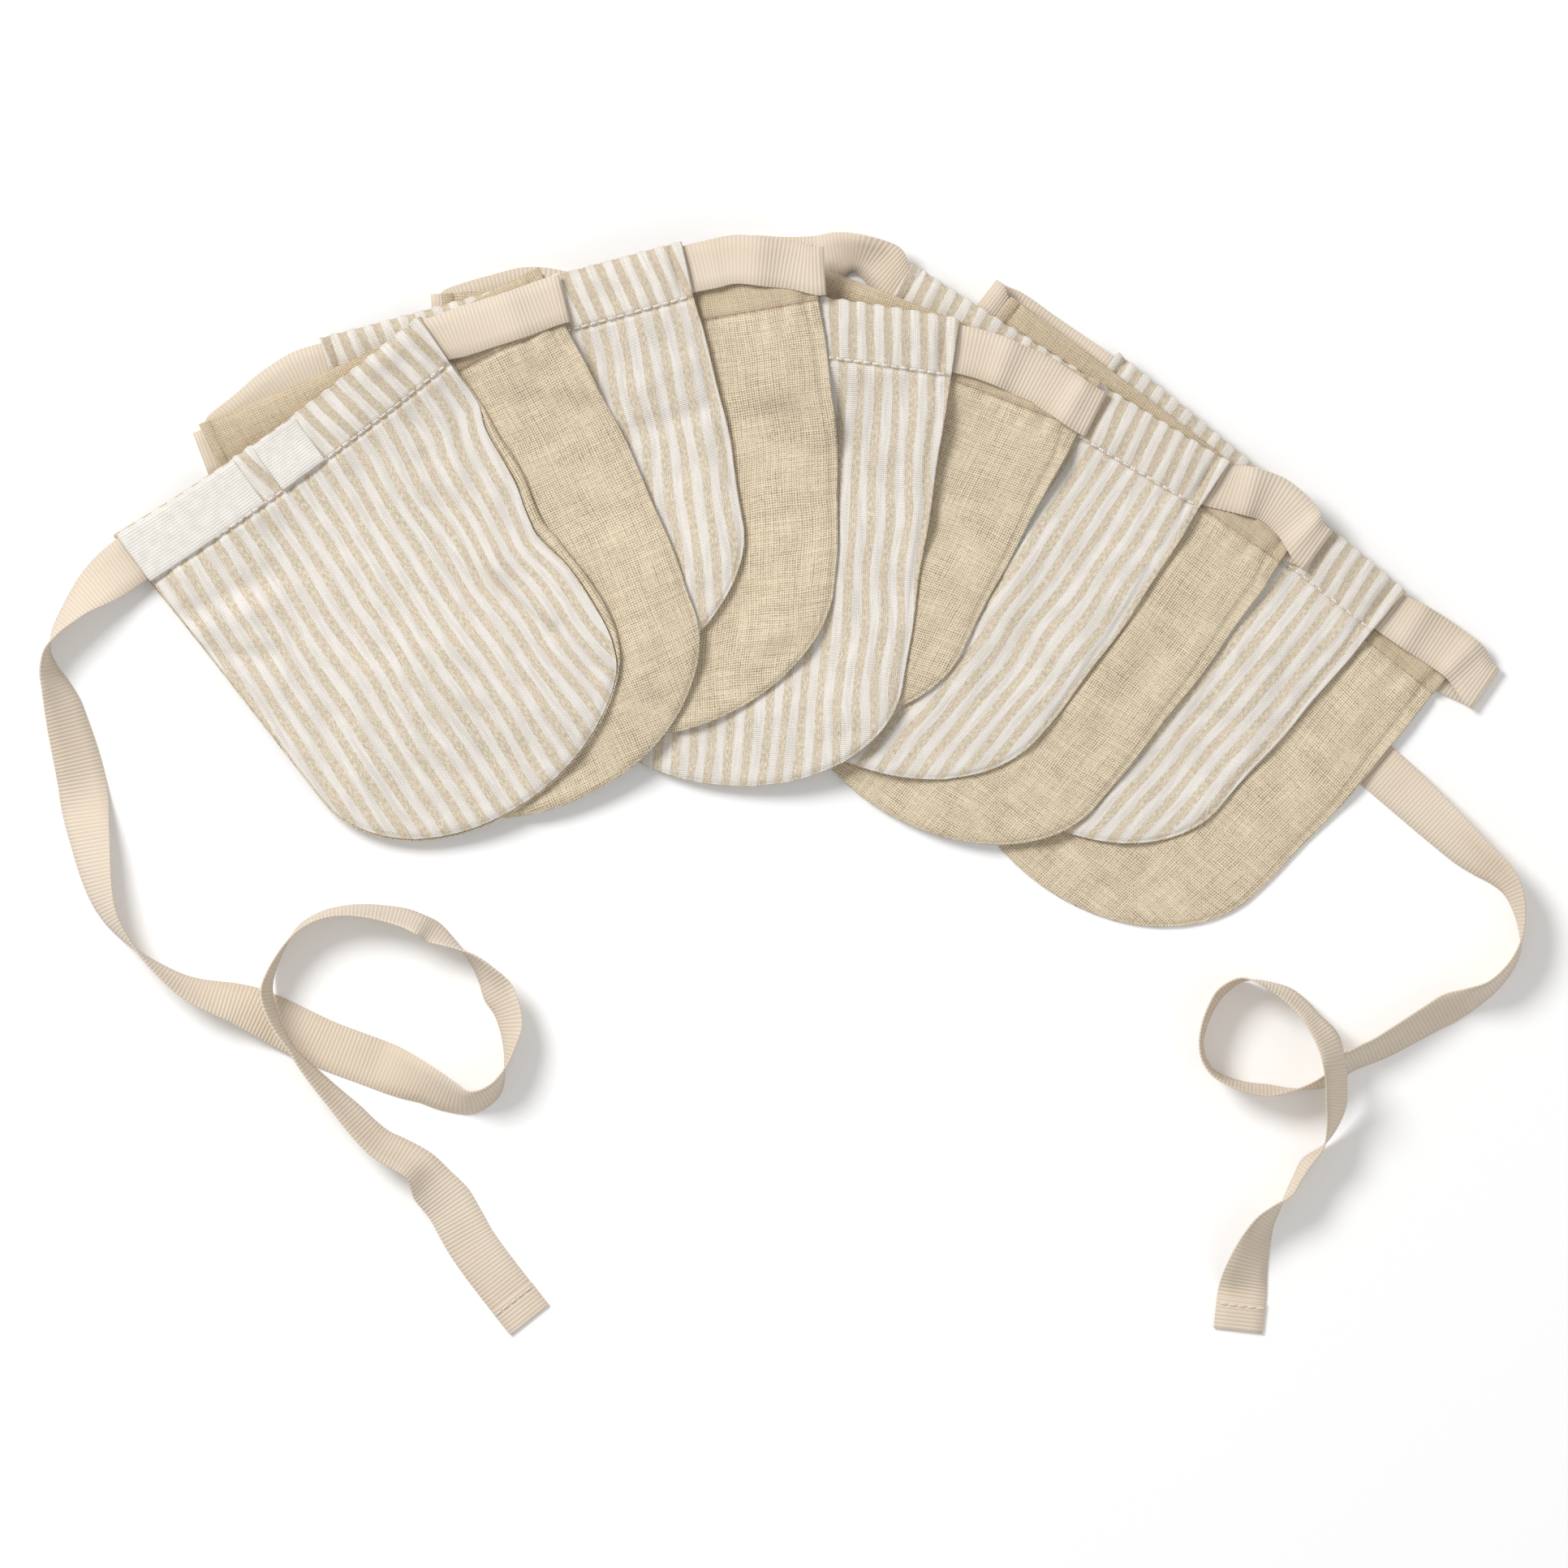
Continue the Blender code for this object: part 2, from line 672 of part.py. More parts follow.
def lay_tie(heap, rows, loop_row, left_is_a, start):
    """Lays a free end whose second part crosses its first. start is A, B and heights of the pair before it."""
    loop_at = np.array(rows[loop_row][:2])
    path = spline(rows)
    split = int(np.argmin(np.hypot(path[:, 0] - loop_at[0], path[:, 1] - loop_at[1])))
    edge_a, edge_b, over = rolled_edges(path, left_is_a)
    edge_a = np.vstack([start[0][None, :], edge_a])
    edge_b = np.vstack([start[1][None, :], edge_b])
    over = np.concatenate([[np.nan], over])
    split += 1
    z = lay_strip(heap, edge_a[:split + 1], edge_b[:split + 1], over[:split + 1], start=start[2])
    early = split + 1 - LOOP_GAP
    stamp_strip(heap, edge_a[:early], edge_b[:early], z[:early])
    rest = lay_strip(heap, edge_a[split:], edge_b[split:], over[split:], start=z[-1])
    late = early - 1
    height = np.vstack([z, rest[1:]])
    stamp_strip(heap, edge_a[late:], edge_b[late:], height[late:])
    return stations(edge_a[1:], edge_b[1:], height[1:])


# ---------------------------------------------------------------- finished meshes

def add_object(name, points, faces, material, collection):
    """A mesh object from points in millimetres."""
    shift = Vector((SHIFT[0], SHIFT[1], 0.0))
    mesh = bpy.data.meshes.new(name)
    corners = [(Vector(point) + shift) * MM for point in points]
    mesh.from_pydata(corners, [], [tuple(int(n) for n in face) for face in faces])
    mesh.materials.append(material)
    mesh.update()
    obj = bpy.data.objects.new(name, mesh)
    collection.objects.link(obj)
    return obj


def sheet_solid(xy, low, top, faces, rim):
    """Points and triangles of a sheet between two heights, closed round its rim."""
    count = len(xy)
    points = np.vstack([np.column_stack([xy, low]), np.column_stack([xy, top])])
    solid = [tuple(face[::-1]) for face in faces]
    solid += [tuple(face + count) for face in faces]
    for a, b in zip(rim, rim[1:] + rim[:1]):
        solid += [(a, b, b + count), (a, b + count, a + count)]
    return points, solid


def ribbon_solid(rows):
    """Points and triangles of the ribbon through its stations, with a doubled hem on top at each end."""
    middles = [(a + b) / 2 for a, b in rows]
    walked = np.concatenate([[0.0], np.cumsum([math.dist(p, q) for p, q in zip(middles, middles[1:])])])
    points, faces = [], []
    for k, (a, b) in enumerate(rows):
        ahead = middles[min(k + 1, len(rows) - 1)] - middles[max(k - 1, 0)]
        normal = unit(np.cross(unit(b - a), unit(ahead)))
        hem = HEM_THICK - RIBBON_THICK if min(walked[k], walked[-1] - walked[k]) < HEM_LONG else 0.0
        up = normal * (RIBBON_THICK / 2 + (hem if normal[2] > 0 else 0.0))
        down = normal * (RIBBON_THICK / 2 + (hem if normal[2] < 0 else 0.0))
        points += [a + up, b + up, b - down, a - down]
    for k in range(len(rows) - 1):
        for n in range(4):
            p, q = 4 * k + n, 4 * k + (n + 1) % 4
            if n == 2:
                faces += [(p, q, p + 4), (q, q + 4, p + 4)]
            else:
                faces += [(p, q, q + 4), (p, q + 4, p + 4)]
    last = 4 * (len(rows) - 1)
    faces += [(0, 3, 2), (0, 2, 1), (last, last + 1, last + 2), (last, last + 2, last + 3)]
    return np.array(points), faces


def material(name, color, roughness):
    """A plain cloth material."""
    made = bpy.data.materials.new(name)
    made.use_nodes = True
    shader = made.node_tree.nodes["Principled BSDF"]
    shader.inputs["Base Color"].default_value = (*color, 1.0)
    shader.inputs["Roughness"].default_value = roughness
    return made


def plain_muslin():
    return material("plain_muslin", color=(0.672, 0.552, 0.352), roughness=0.9)


def striped_muslin():
    return material("striped_muslin", color=(0.755, 0.68, 0.56), roughness=0.9)


def grosgrain():
    return material("grosgrain", color=(0.73, 0.59, 0.445), roughness=0.75)


def label_tape():
    return material("label_tape", color=(0.83, 0.8, 0.74), roughness=0.8)


# ---------------------------------------------------------------- laying it all out

def lay_panel(heap, pennant, lower, cloth, collection):
    """Lays one panel of a pennant and makes its object."""
    xy, rows, columns = panel_plan(pennant, BACK_SHOWS if lower else 0.0)
    faces = grid_faces(rows, columns)
    low, top = lay_sheet(heap, xy, faces, PANEL_THICK)
    points, solid = sheet_solid(xy, low, top, faces, grid_rim(rows, columns))
    striped = (pennant.number % 2 == 1) != lower
    kind = "striped" if striped else "plain"
    add_object("flag_{:02d}_{}".format(pennant.number, kind), points, solid, cloth[kind], collection)


def lay_label(heap, name, start, end, cloth, collection):
    """Lays one label on the channel of pennant 1."""
    columns = round((end - start) / LABEL_STEP) + 1
    places = [(s, v) for v in LABEL_ROWS for s in np.linspace(start, end, columns)]
    xy = np.array([pennant_point(PENNANTS[0], s, v) for s, v in places])
    faces = grid_faces(len(LABEL_ROWS), columns)
    low, top = lay_sheet(heap, xy, faces, LABEL_THICK)
    points, solid = sheet_solid(xy, low, top, faces, grid_rim(len(LABEL_ROWS), columns))
    add_object(name, points, solid, cloth, collection)


def lay_right_tie(heap):
    """The free end under pennant 10, from its hem to the lower side of the fold at its left end."""
    fold = fold_start(len(PENNANTS))
    rows = [row[1:] for row in RUNS if row[0] == len(PENNANTS)] + list(RIGHT_TIE)
    first = (fold[0], fold[1], np.full(2, RIBBON_THICK / 2))
    loop_row = len(rows) - len(RIGHT_TIE) + RIGHT_LOOP_ROW
    tie = lay_tie(heap, rows, loop_row, True, first)
    start = (np.append(fold[0], first[2][0]), np.append(fold[1], first[2][1]))
    return tie[::-1] + [start]


def build():
    """Makes the collection with all pieces."""
    collection = bpy.data.collections.new("fabric_bunting")
    bpy.context.scene.collection.children.link(collection)
    cloth = {"plain": plain_muslin(), "striped": striped_muslin()}
    heap = new_heap()
    ribbon = lay_right_tie(heap)
    stamp_strip(heap, *(np.array([row[n][:2] for row in ribbon[-2:]]) for n in (0, 1)),
                np.array([(row[0][2], row[1][2]) for row in ribbon[-2:]]))
    for pennant in reversed(PENNANTS):
        lay_panel(heap, pennant, True, cloth, collection)
        a, b, over = channel_stretch(pennant.number)
        below = np.array((ribbon[-1][0][2], ribbon[-1][1][2]))
        z = lay_strip(heap, a, b, over, least=below + FOLD_RISE)
        ribbon += fold_turn(pennant.number, below, z[0])
        ribbon += stations(a, b, z)
        stamp_strip(heap, a, b, z)
        if pennant.number == 1:
            ribbon += lay_tie(heap, LEFT_TIE, LEFT_LOOP_ROW, False, (a[-1], b[-1], z[-1]))
        lay_panel(heap, pennant, False, cloth, collection)
    tape = label_tape()
    for name, start, end in LABELS:
        lay_label(heap, name, start, end, tape, collection)
    points, faces = ribbon_solid(ribbon)
    add_object("ribbon", points, faces, grosgrain(), collection)


def clear_scene():
    for obj in list(bpy.data.objects):
        bpy.data.objects.remove(obj)


clear_scene()
build()
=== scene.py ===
"""Fabric bunting: the finish of its ten pennants, its ribbon and its two labels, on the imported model.

Lengths are in millimetres until a mesh is made, which turns them into metres. On a pennant, s runs across
from its middle line and v down from its top edge, as in the model, and u is s as a share of the half width.
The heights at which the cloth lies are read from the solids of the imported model.
"""

import json
import math
from collections import namedtuple

import bpy
import numpy as np
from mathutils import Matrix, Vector
from mathutils.bvhtree import BVHTree

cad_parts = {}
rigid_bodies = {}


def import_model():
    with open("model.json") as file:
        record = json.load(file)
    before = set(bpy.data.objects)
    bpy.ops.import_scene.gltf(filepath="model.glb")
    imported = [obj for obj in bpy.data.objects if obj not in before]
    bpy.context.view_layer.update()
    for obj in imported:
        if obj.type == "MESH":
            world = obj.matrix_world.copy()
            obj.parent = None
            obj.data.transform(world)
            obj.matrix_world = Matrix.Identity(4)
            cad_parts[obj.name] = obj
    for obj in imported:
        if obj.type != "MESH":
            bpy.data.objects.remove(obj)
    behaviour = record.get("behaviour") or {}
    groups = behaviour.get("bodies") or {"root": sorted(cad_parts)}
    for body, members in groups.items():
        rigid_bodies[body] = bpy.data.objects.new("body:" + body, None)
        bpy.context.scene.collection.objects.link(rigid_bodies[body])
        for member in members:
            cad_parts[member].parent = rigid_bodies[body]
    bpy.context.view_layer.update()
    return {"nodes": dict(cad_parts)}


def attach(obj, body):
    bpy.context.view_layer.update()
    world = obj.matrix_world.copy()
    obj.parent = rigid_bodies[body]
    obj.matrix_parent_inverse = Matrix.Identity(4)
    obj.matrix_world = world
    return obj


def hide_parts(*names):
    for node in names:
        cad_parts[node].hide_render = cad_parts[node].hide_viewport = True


MM = 0.001
TAU = 2 * math.pi

# Pennants, as in the model
SHIFT = (0.6, -0.3)
HALF_TOP = 62.5
HALF_LOW = 58.2
TIP_LENGTH = 42.0
BACK_SHOWS = 0.6
CASING = 19.0
SWELL_REACH = 25.0
RIPPLE_LONG = 38.0
RIPPLE_START = 10.0
BOW_REACH = 60.0
LEAN_REACH = 30.0
BEND_AT = 150.0
ACROSS = 8
CHANNEL_ROWS = (0.0, 2.2, 9.5, 16.8, 19.5)
BODY_ROWS = 7
TIP_ROWS = 3
SOLID_THICK = 1.0

Pennant = namedtuple("Pennant", "number x y turn length bow lean bend swell ripple")
PENNANTS = [
    Pennant(*row) for row in (
        (1, -172.8, 119.6, 35.3, 152.3, -2.5, 1.2, -1.7, -3.5, 1.2),
        (2, -138.8, 146.4, 24.7, 166.8, -2.0, 0.4, 1.1, 3.9, 0.3),
        (3, -94.8, 164.8, 14.8, 137.8, 0.0, 0.7, -5.8, 2.1, 0.3),
        (4, -52.4, 171.9, 7.3, 155.6, -2.1, 1.1, -12.0, 3.1, 0.3),
        (5, -3.6, 162.0, -6.6, 163.3, 2.2, 0.2, -0.8, -0.3, 0.3),
        (6, 47.5, 157.7, -21.7, 145.2, 1.0, 2.3, -16.2, -2.6, 0.3),
        (7, 95.7, 140.5, -32.1, 153.5, -0.8, 1.4, -7.8, 1.6, 0.3),
        (8, 125.7, 124.9, -37.3, 163.1, 0.6, 4.0, -5.8, 0.8, 0.3),
        (9, 159.7, 104.1, -39.6, 139.1, 0.2, 2.4, -4.5, 0.1, 0.3),
        (10, 180.6, 83.6, -38.3, 150.7, 0.2, -0.5, -4.7, 2.3, 0.3),
    )
]

# How the stripes run. channel, upper and lower: millimetres sideways for each millimetre down, in the channel
# and on the upper and lower half of the body. start_above, start_below: where a white stripe meets the stitch
# line. gather_above, gather_below: how much cloth is drawn in from the middle to SPREAD_AT.
Stripes = namedtuple("Stripes", "channel upper lower start_above start_below gather_above gather_below")
STRIPES = {
    1: Stripes(0.14, -0.096, -0.021, -0.1, -1.7, -0.8, -1.3),
    3: Stripes(0.16, -0.105, -0.055, 4.5, 2.8, 2.8, 1.2),
    5: Stripes(0.13, 0.112, 0.012, 1.6, 4.9, 1.6, 2.6),
    7: Stripes(0.10, -0.043, -0.033, 3.4, 0.9, 2.4, 4.6),
    9: Stripes(0.10, -0.007, -0.027, 0.6, -0.3, 1.2, 0.9),
}
PLAIN_RUN = Stripes(0.06, -0.03, -0.02, 0.0, 0.0, 0.0, 0.0)
SPREAD_AT = 60.0
RUN_TURNS = 38.0
STRIPE_PERIOD = 6.2

# Unevenness: its rise, the length of its bumps, and the seed of its random numbers
Uneven = namedtuple("Uneven", "rise long seed")
STRIPE_WANDER = Uneven(0.4, 34.0, 100)
FINE_WANDER = Uneven(0.1, 11.0, 200)
WEFT_WANDER = Uneven(0.5, 40.0, 300)
RIDGE_WANDER = Uneven(1.3, 17.0, 400)
CLOTH_SWELL = Uneven(0.5, 36.0, 500)
CLOTH_BUMPS = Uneven(0.14, 12.0, 600)
LABEL_SWELL = Uneven(0.05, 9.0, 700)
STITCH_SEED = 800
WAVES = 7
WAVE_SPREAD = (0.7, 1.5)

# Soft troughs and ridges that show on the pennants: from s0, v0 to s1, v1, with their rise and half width.
CREASES = (
    # pennant, s0, v0, s1, v1, rise, wide
    (1, -61, 34, -28, 40, -1.2, 3.6),
    (1, -61, 50, -44, 62, -1.1, 3.2),
    (1, -58, 42, -32, 49, 0.8, 3.6),
    (1, 32.5, 72, 33, 92, -1.2, 1.7),
    (1, 33, 92, 38, 112, -1.2, 2),
    (1, 37.5, 76, 42, 108, 1.7, 2.8),
    (1, 28.5, 72, 29, 100, 0.9, 2.6),
    (1, 46, 30, 40, 84, 1, 4),
    (1, 37, 40, 34, 76, -0.7, 3.2),
    (1, 54, 26, 50, 60, -0.8, 2.6),
    (1, -36, 70, -30, 128, 0.6, 6),
    (1, -14, 96, -4, 146, -0.6, 6),
    (2, 36, 30, 60, 46, 0.9, 4),
    (2, 34, 78, 56, 92, -0.8, 5),
    (2, 48, 110, 30, 140, 0.6, 6),
    (3, 26, 58, 58, 56, -1.2, 3.2),
    (3, 34, 44, 54, 40, 0.8, 3.6),
    (3, 50, 70, 46, 110, 0.6, 4),
    (4, 36, 40, 40, 84, 0.7, 5),
    (4, 20, 126, 50, 96, -0.8, 5),
    (5, 30, 40, 36, 100, 0.7, 5),
    (5, 48, 52, 52, 100, -0.8, 4),
    (6, 16, 60, 40, 72, -0.7, 5),
    (7, 40, 43, 60, 40, -1, 3.2),
    (7, 20, 60, 30, 110, 0.7, 5),
    (8, 36, 40, 34, 100, 0.8, 5),
    (8, 46, 60, 44, 118, -0.7, 5),
    (9, 32, 77, 60, 64, -1.1, 3.4),
    (9, 40, 34, 44, 60, 0.7, 4.5),
    (10, 44, 30, 46, 110, 0.7, 6),
    (10, -10, 128, 34, 124, -0.7, 6),
)

# Thin cloth within the solids
CLOTH_THICK = 0.45
CLOTH_MARGIN = 0.03
FREE_RISE = 3.0
FREE_SINK = 1.5
RAY_REACH = 60.0
UPPER_STEP = 1.4
LOWER_STEP = 2.4
STITCH_STEP = 0.5
STITCH_ROWS = (16.0, 23.0)
RIM_STEPS = (0.0, 0.35, 0.8, 1.4)
RIM_WIDE = 2.1
SIDE_REACH = 6.0

# How far the right side of a pennant stands out beyond that of its solid, at places v down the side
SIDE_PLAY = {
    1: (
        (19, 0.0), (32, 1.2), (42, 2.4), (52, 2.8), (62, 1.4), (74, -0.4),
        (80, -0.2), (88, 0.9), (96, -0.2), (104, -0.6), (124, 0.0),
    ),
}

# Where the cloth of the back rolls round to the front: how wide it shows, at places v down the side
ROLLED_SIDES = {
    1: (
        (36, 0.0), (44, 2.2), (60, 2.9), (76, 3.3), (86, 3.9),
        (97, 2.3), (112, 2.7), (126, 2.1), (138, 0.0),
    ),
}
ROLL_RISE = 1.35
ROLL_CROWN = 0.7
ROLL_FALL = 0.7

# How far the other back panels stand out past their front, and the white stripes past the top edge
BACK_HIDDEN = 0.1
NUB_OUT = 0.6

# Relief of the cloth
LOFT = 0.45
EDGE_ROLL = 0.6
SEAM_RISE = 0.2
SEAM_MEET = 0.6
CHANNEL_BULGE = 0.6
END_HEM_WIDE = 3.9
END_HEM_RISE = 0.4
END_HEM_GROOVE = 0.9
BLISTER = 0.05
BLISTER_BELOW = 0.14
BLISTER_FADE = 30
BLISTER_CHANNEL = 0.3
PUCKER = 0.25
PUCKER_LONG = (7.4, 4.1)
TUCK = 0.65
LIP = 0.25

# Stitches
STITCH_PITCH = 3.1
STITCH_LONG = 2.75
STITCH_CUTS = 7
STITCH_MARGINS = (1.6, 4.0)
STITCH_ABOVE = 0.25
STITCH_SHIFT = 0.1
STITCH_SLANT = 0.12
STITCH_SUNK = 0.4
STITCH_NARROW = 0.45
STITCH_RADIUS = {"striped": 0.52, "plain": 0.28}
THREAD_SIDES = 8

# Ribbon
RIBBON_WIDE = 16.0
RIBBON_CLOTH = 0.6
RIBBON_STEP = 0.65
RIBBON_COLUMNS = 5
RIB_PITCH = 1.3
PICOT = 0.16
HEM_LONG = 10.0
HEM_LIFT = 0.7
HEM_STITCH_AT = 1.7
HEM_STITCH_RADIUS = 0.4
HEM_STITCH_MARGIN = 0.8
HEM_STITCH_SUNK = 0.5
WAVE_NEAR = 3.0
RIBBON_WAVES = (
    # x, y, rise, reach
    (-88, 157, 1.6, 5.5),
    (-27.5, 173.5, 1.5, 4.5),
    (-5, 174.5, 1.9, 5.5),
    (76, 139.5, 1.8, 4.5),
    (94, 129, 1.7, 3.6),
    (158.5, 97, 1.8, 4.2),
    (173, 86.5, 1.6, 3.4),
    (213, 51.5, 1.7, 4.5),
    (228.5, 40, 1.6, 3.4),
)

# Labels
LABELS = (
    # name, start, end along the channel
    ("label_long", -62.0, -15.8),
    ("label_short", -8.1, 9.1),
)
LABEL_ROWS = (0.6, 2.4, 9.5, 16.6, 18.8)
LABEL_SOLID_STEP = 8.0
LABEL_STEP = 0.8
LABEL_CLOTH = 0.5
LABEL_EDGE = 1.2
LABEL_EDGE_DROP = 0.2


# -------- curves and unevenness

def slopes_between(x, y):
    """Slope at each knot of a smooth curve that doesn't overshoot, for columns of y over x."""
    step = np.diff(x)[:, None]
    slope = np.diff(y, axis=0) / step
    inner = np.zeros_like(y[1:-1])
    same = slope[:-1] * slope[1:] > 0
    w1 = 2 * step[1:] + step[:-1]
    w2 = step[1:] + 2 * step[:-1]
    with np.errstate(divide="ignore", invalid="ignore"):
        mean = (w1 + w2) / (w1 / slope[:-1] + w2 / slope[1:])
    inner[same] = mean[same]
    return np.vstack([slope[:1], inner, slope[-1:]])


def parabola_slopes(x, y):
    """Slope at each knot of the parabola through it and its two neighbours."""
    step = np.diff(x)[:, None]
    slope = np.diff(y, axis=0) / step
    inner = (slope[:-1] * step[1:] + slope[1:] * step[:-1]) / (step[1:] + step[:-1])
    return np.vstack([slope[:1], inner, slope[-1:]])


def cubic(x, y, at, slopes):
    """Columns of y over x, read at the places at, as cubic pieces with the given slopes."""
    k = np.clip(np.searchsorted(x, at, side="right") - 1, 0, len(x) - 2)
    step = (x[k + 1] - x[k])[:, None]
    t = ((at - x[k])[:, None]) / step
    return (
        y[k] * (1 + 2 * t) * (1 - t) ** 2
        + slopes[k] * step * t * (1 - t) ** 2
        + y[k + 1] * t * t * (3 - 2 * t)
        + slopes[k + 1] * step * t * t * (t - 1)
    )


def smooth_grid(rows, columns, heights, at_rows, at_columns):
    """Heights on a coarse grid, read smoothly on a finer one."""
    down = cubic(rows, heights, at_rows, slopes_between(rows, heights))
    return cubic(columns, down.T, at_columns, slopes_between(columns, down.T)).T


def distance_along(line):
    """Distance of each point of a line from its first one, along the line."""
    return np.concatenate([[0], np.cumsum(np.linalg.norm(np.diff(line, axis=0), axis=1))])


def soft_step(low, high, value):
    """0 below low, 1 above high, and smooth between."""
    share = np.clip((value - low) / (high - low), 0, 1)
    return share * share * (3 - 2 * share)


def unevenness(kind, x, y, number=0):
    """Smooth unevenness of a kind, for the piece with a number."""
    draw = np.random.default_rng(kind.seed + number)
    total = np.zeros(np.shape(x))
    for _ in range(WAVES):
        angle = draw.uniform(0, TAU)
        phase = draw.uniform(0, TAU)
        wave = kind.long * draw.uniform(*WAVE_SPREAD)
        total = total + np.sin(TAU * (x * math.cos(angle) + y * math.sin(angle)) / wave + phase)
    return kind.rise * (total / math.sqrt(WAVES))


# -------- plan of a pennant

def pennant_xy(pennant, s, v):
    """Plan position of the cloth point s across and v down."""
    rise = pennant.bow * (1 - (s / HALF_TOP) ** 2) * np.maximum(0, 1 - v / BOW_REACH)
    tilt = math.radians(pennant.lean) * np.minimum(1, v / LEAN_REACH)
    across = s * np.cos(tilt) + v * np.sin(tilt) + pennant.bend * (v / BEND_AT) ** 2
    up = s * np.sin(tilt) - v * np.cos(tilt) + rise
    turn = math.radians(pennant.turn)
    x = pennant.x + across * math.cos(turn) - up * math.sin(turn) + SHIFT[0]
    y = pennant.y + across * math.sin(turn) + up * math.cos(turn) + SHIFT[1]
    return x, y


def side_swell(pennant, v):
    """How far the right side stands out at v, besides the plain taper."""
    below = np.maximum(0, v - CASING)
    share = np.minimum(1, below / (pennant.length - TIP_LENGTH - CASING + SWELL_REACH))
    wave = pennant.ripple * np.sin(TAU * below / RIPPLE_LONG) * np.minimum(1, below / RIPPLE_START)
    return (pennant.swell + wave) * np.sin(math.pi * share)


def cut_sv(pennant, u, w):
    """s and v of the point u across and w down, where w runs on from the body into the rounded point."""
    low = pennant.length - TIP_LENGTH
    q = np.clip((w - low) / TIP_LENGTH, 0, 1)
    body = np.minimum(w, low)
    half = HALF_TOP + (HALF_LOW - HALF_TOP) * body / low
    return half * u * np.sqrt(1 - q * q / 2), body + TIP_LENGTH * q * np.sqrt(1 - u * u / 2)


def down_side(table, pennant, v):
    """A table's value at v down the side of a pennant, and 0 for a pennant that isn't in the table."""
    if pennant.number not in table:
        return np.zeros(np.shape(v))
    rows = np.array(table[pennant.number])
    value = rows[:, 1:]
    inside = np.clip(np.ravel(v), rows[0, 0], rows[-1, 0])
    return cubic(rows[:, 0], value, inside, slopes_between(rows[:, 0], value)).reshape(np.shape(v))


def panel_xy(pennant, u, w, extra, play=False):
    """Plan position of a point of a panel whose sides and point are moved out by extra."""
    s, v = cut_sv(pennant, u, w)
    out = side_swell(pennant, v) * np.maximum(0, u)
    if play:
        out = out + down_side(SIDE_PLAY, pennant, v) * soft_step(0.5, 1.0, u)
    more = extra * np.maximum(0, v - (pennant.length - TIP_LENGTH)) / TIP_LENGTH
    return pennant_xy(pennant, s + out + extra * u, v + more)


def solid_rows(pennant):
    """w of the rows of points of the pennant's solids."""
    low = pennant.length - TIP_LENGTH
    first = CHANNEL_ROWS[-1]
    body = [first + (low - first) * k / BODY_ROWS for k in range(1, BODY_ROWS + 1)]
    tip = [low + TIP_LENGTH * k / TIP_ROWS for k in range(1, TIP_ROWS + 1)]
    return np.array(list(CHANNEL_ROWS) + body + tip)


# -------- the solids of the model

def cloths(number):
    """The cloth of a pennant's upper panel and that of its lower one."""
    return ("striped", "plain") if number % 2 else ("plain", "striped")


def panel_node(number, lower):
    return "flag_{:02d}_{}".format(number, cloths(number)[lower])


def node_points(node):
    """Corners of a node's mesh in millimetres."""
    mesh = node.data
    flat = np.empty(3 * len(mesh.vertices))
    mesh.vertices.foreach_get("co", flat)
    return flat.reshape(-1, 3) / MM


def node_faces(node):
    return [tuple(face.vertices) for face in node.data.polygons]


def middle_heights(node, x, y):
    """Height of the middle of a solid's thickness at each of its grid points."""
    points = node_points(node)
    heights = np.empty(x.shape)
    for place in np.ndindex(x.shape):
        far = np.hypot(points[:, 0] - x[place], points[:, 1] - y[place])
        near = points[far < far.min() + 0.02, 2]
        heights[place] = (near.min() + near.max()) / 2
    return heights


def tree_without(frame, *left_out):
    """All solids but those left out, to look for what lies above and below."""
    points, faces, count = [], [], 0
    for name, node in frame["nodes"].items():
        if name in left_out:
            continue
        own = node_points(node)
        points.append(own)
        faces += [tuple(n + count for n in face) for face in node_faces(node)]
        count += len(own)
    return BVHTree.FromPolygons(np.vstack(points).tolist(), faces)


def room_for(tree, x, y, middle, half):
    """Lowest and highest place for the middle of a thin cloth, half its height from the middle of its solid.

    The air between two solids is shared, so cloths that keep to their room stay clear of each other.
    """
    low = np.empty(x.shape)
    high = np.empty(x.shape)
    inset = CLOTH_THICK / 2 + CLOTH_MARGIN
    down, up = Vector((0, 0, -1)), Vector((0, 0, 1))
    for place in np.ndindex(x.shape):
        start = Vector((x[place], y[place], middle[place]))
        below = tree.ray_cast(start, down, RAY_REACH)[0]
        above = tree.ray_cast(start, up, RAY_REACH)[0]
        bottom = middle[place] - half[place]
        top = middle[place] + half[place]
        low[place] = max(middle[place] - FREE_SINK, inset)
        if below is not None:
            low[place] = max(low[place], (below.z + bottom) / 2 + inset)
        high[place] = middle[place] + FREE_RISE
        if above is not None:
            high[place] = min(high[place], (above.z + top) / 2 - inset)
    crossed = low > high
    low[crossed] = high[crossed] = ((low + high) / 2)[crossed]
    return low, high


# -------- meshes

def grid_normals(points):
    """Unit normals of a grid of points, up where its rows run down and its columns to the right."""
    along = np.gradient(points, axis=0)
    across = np.gradient(points, axis=1)
    normal = np.cross(along, across)
    return normal / np.linalg.norm(normal, axis=2)[:, :, None]


def rim_of(rows, columns):
    """Rows and columns of the points round a grid, and the step outwards at each."""
    rim = [(i, 0, 0, -1) for i in range(1, rows - 1)]
    rim = [(0, 0, -1, -1)] + rim + [(rows - 1, 0, 1, -1)]
    rim += [(rows - 1, j, 1, 0) for j in range(1, columns - 1)] + [(rows - 1, columns - 1, 1, 1)]
    rim += [(i, columns - 1, 0, 1) for i in range(rows - 2, 0, -1)] + [(0, columns - 1, -1, 1)]
    rim += [(0, j, -1, 0) for j in range(columns - 2, 0, -1)]
    return np.array(rim)


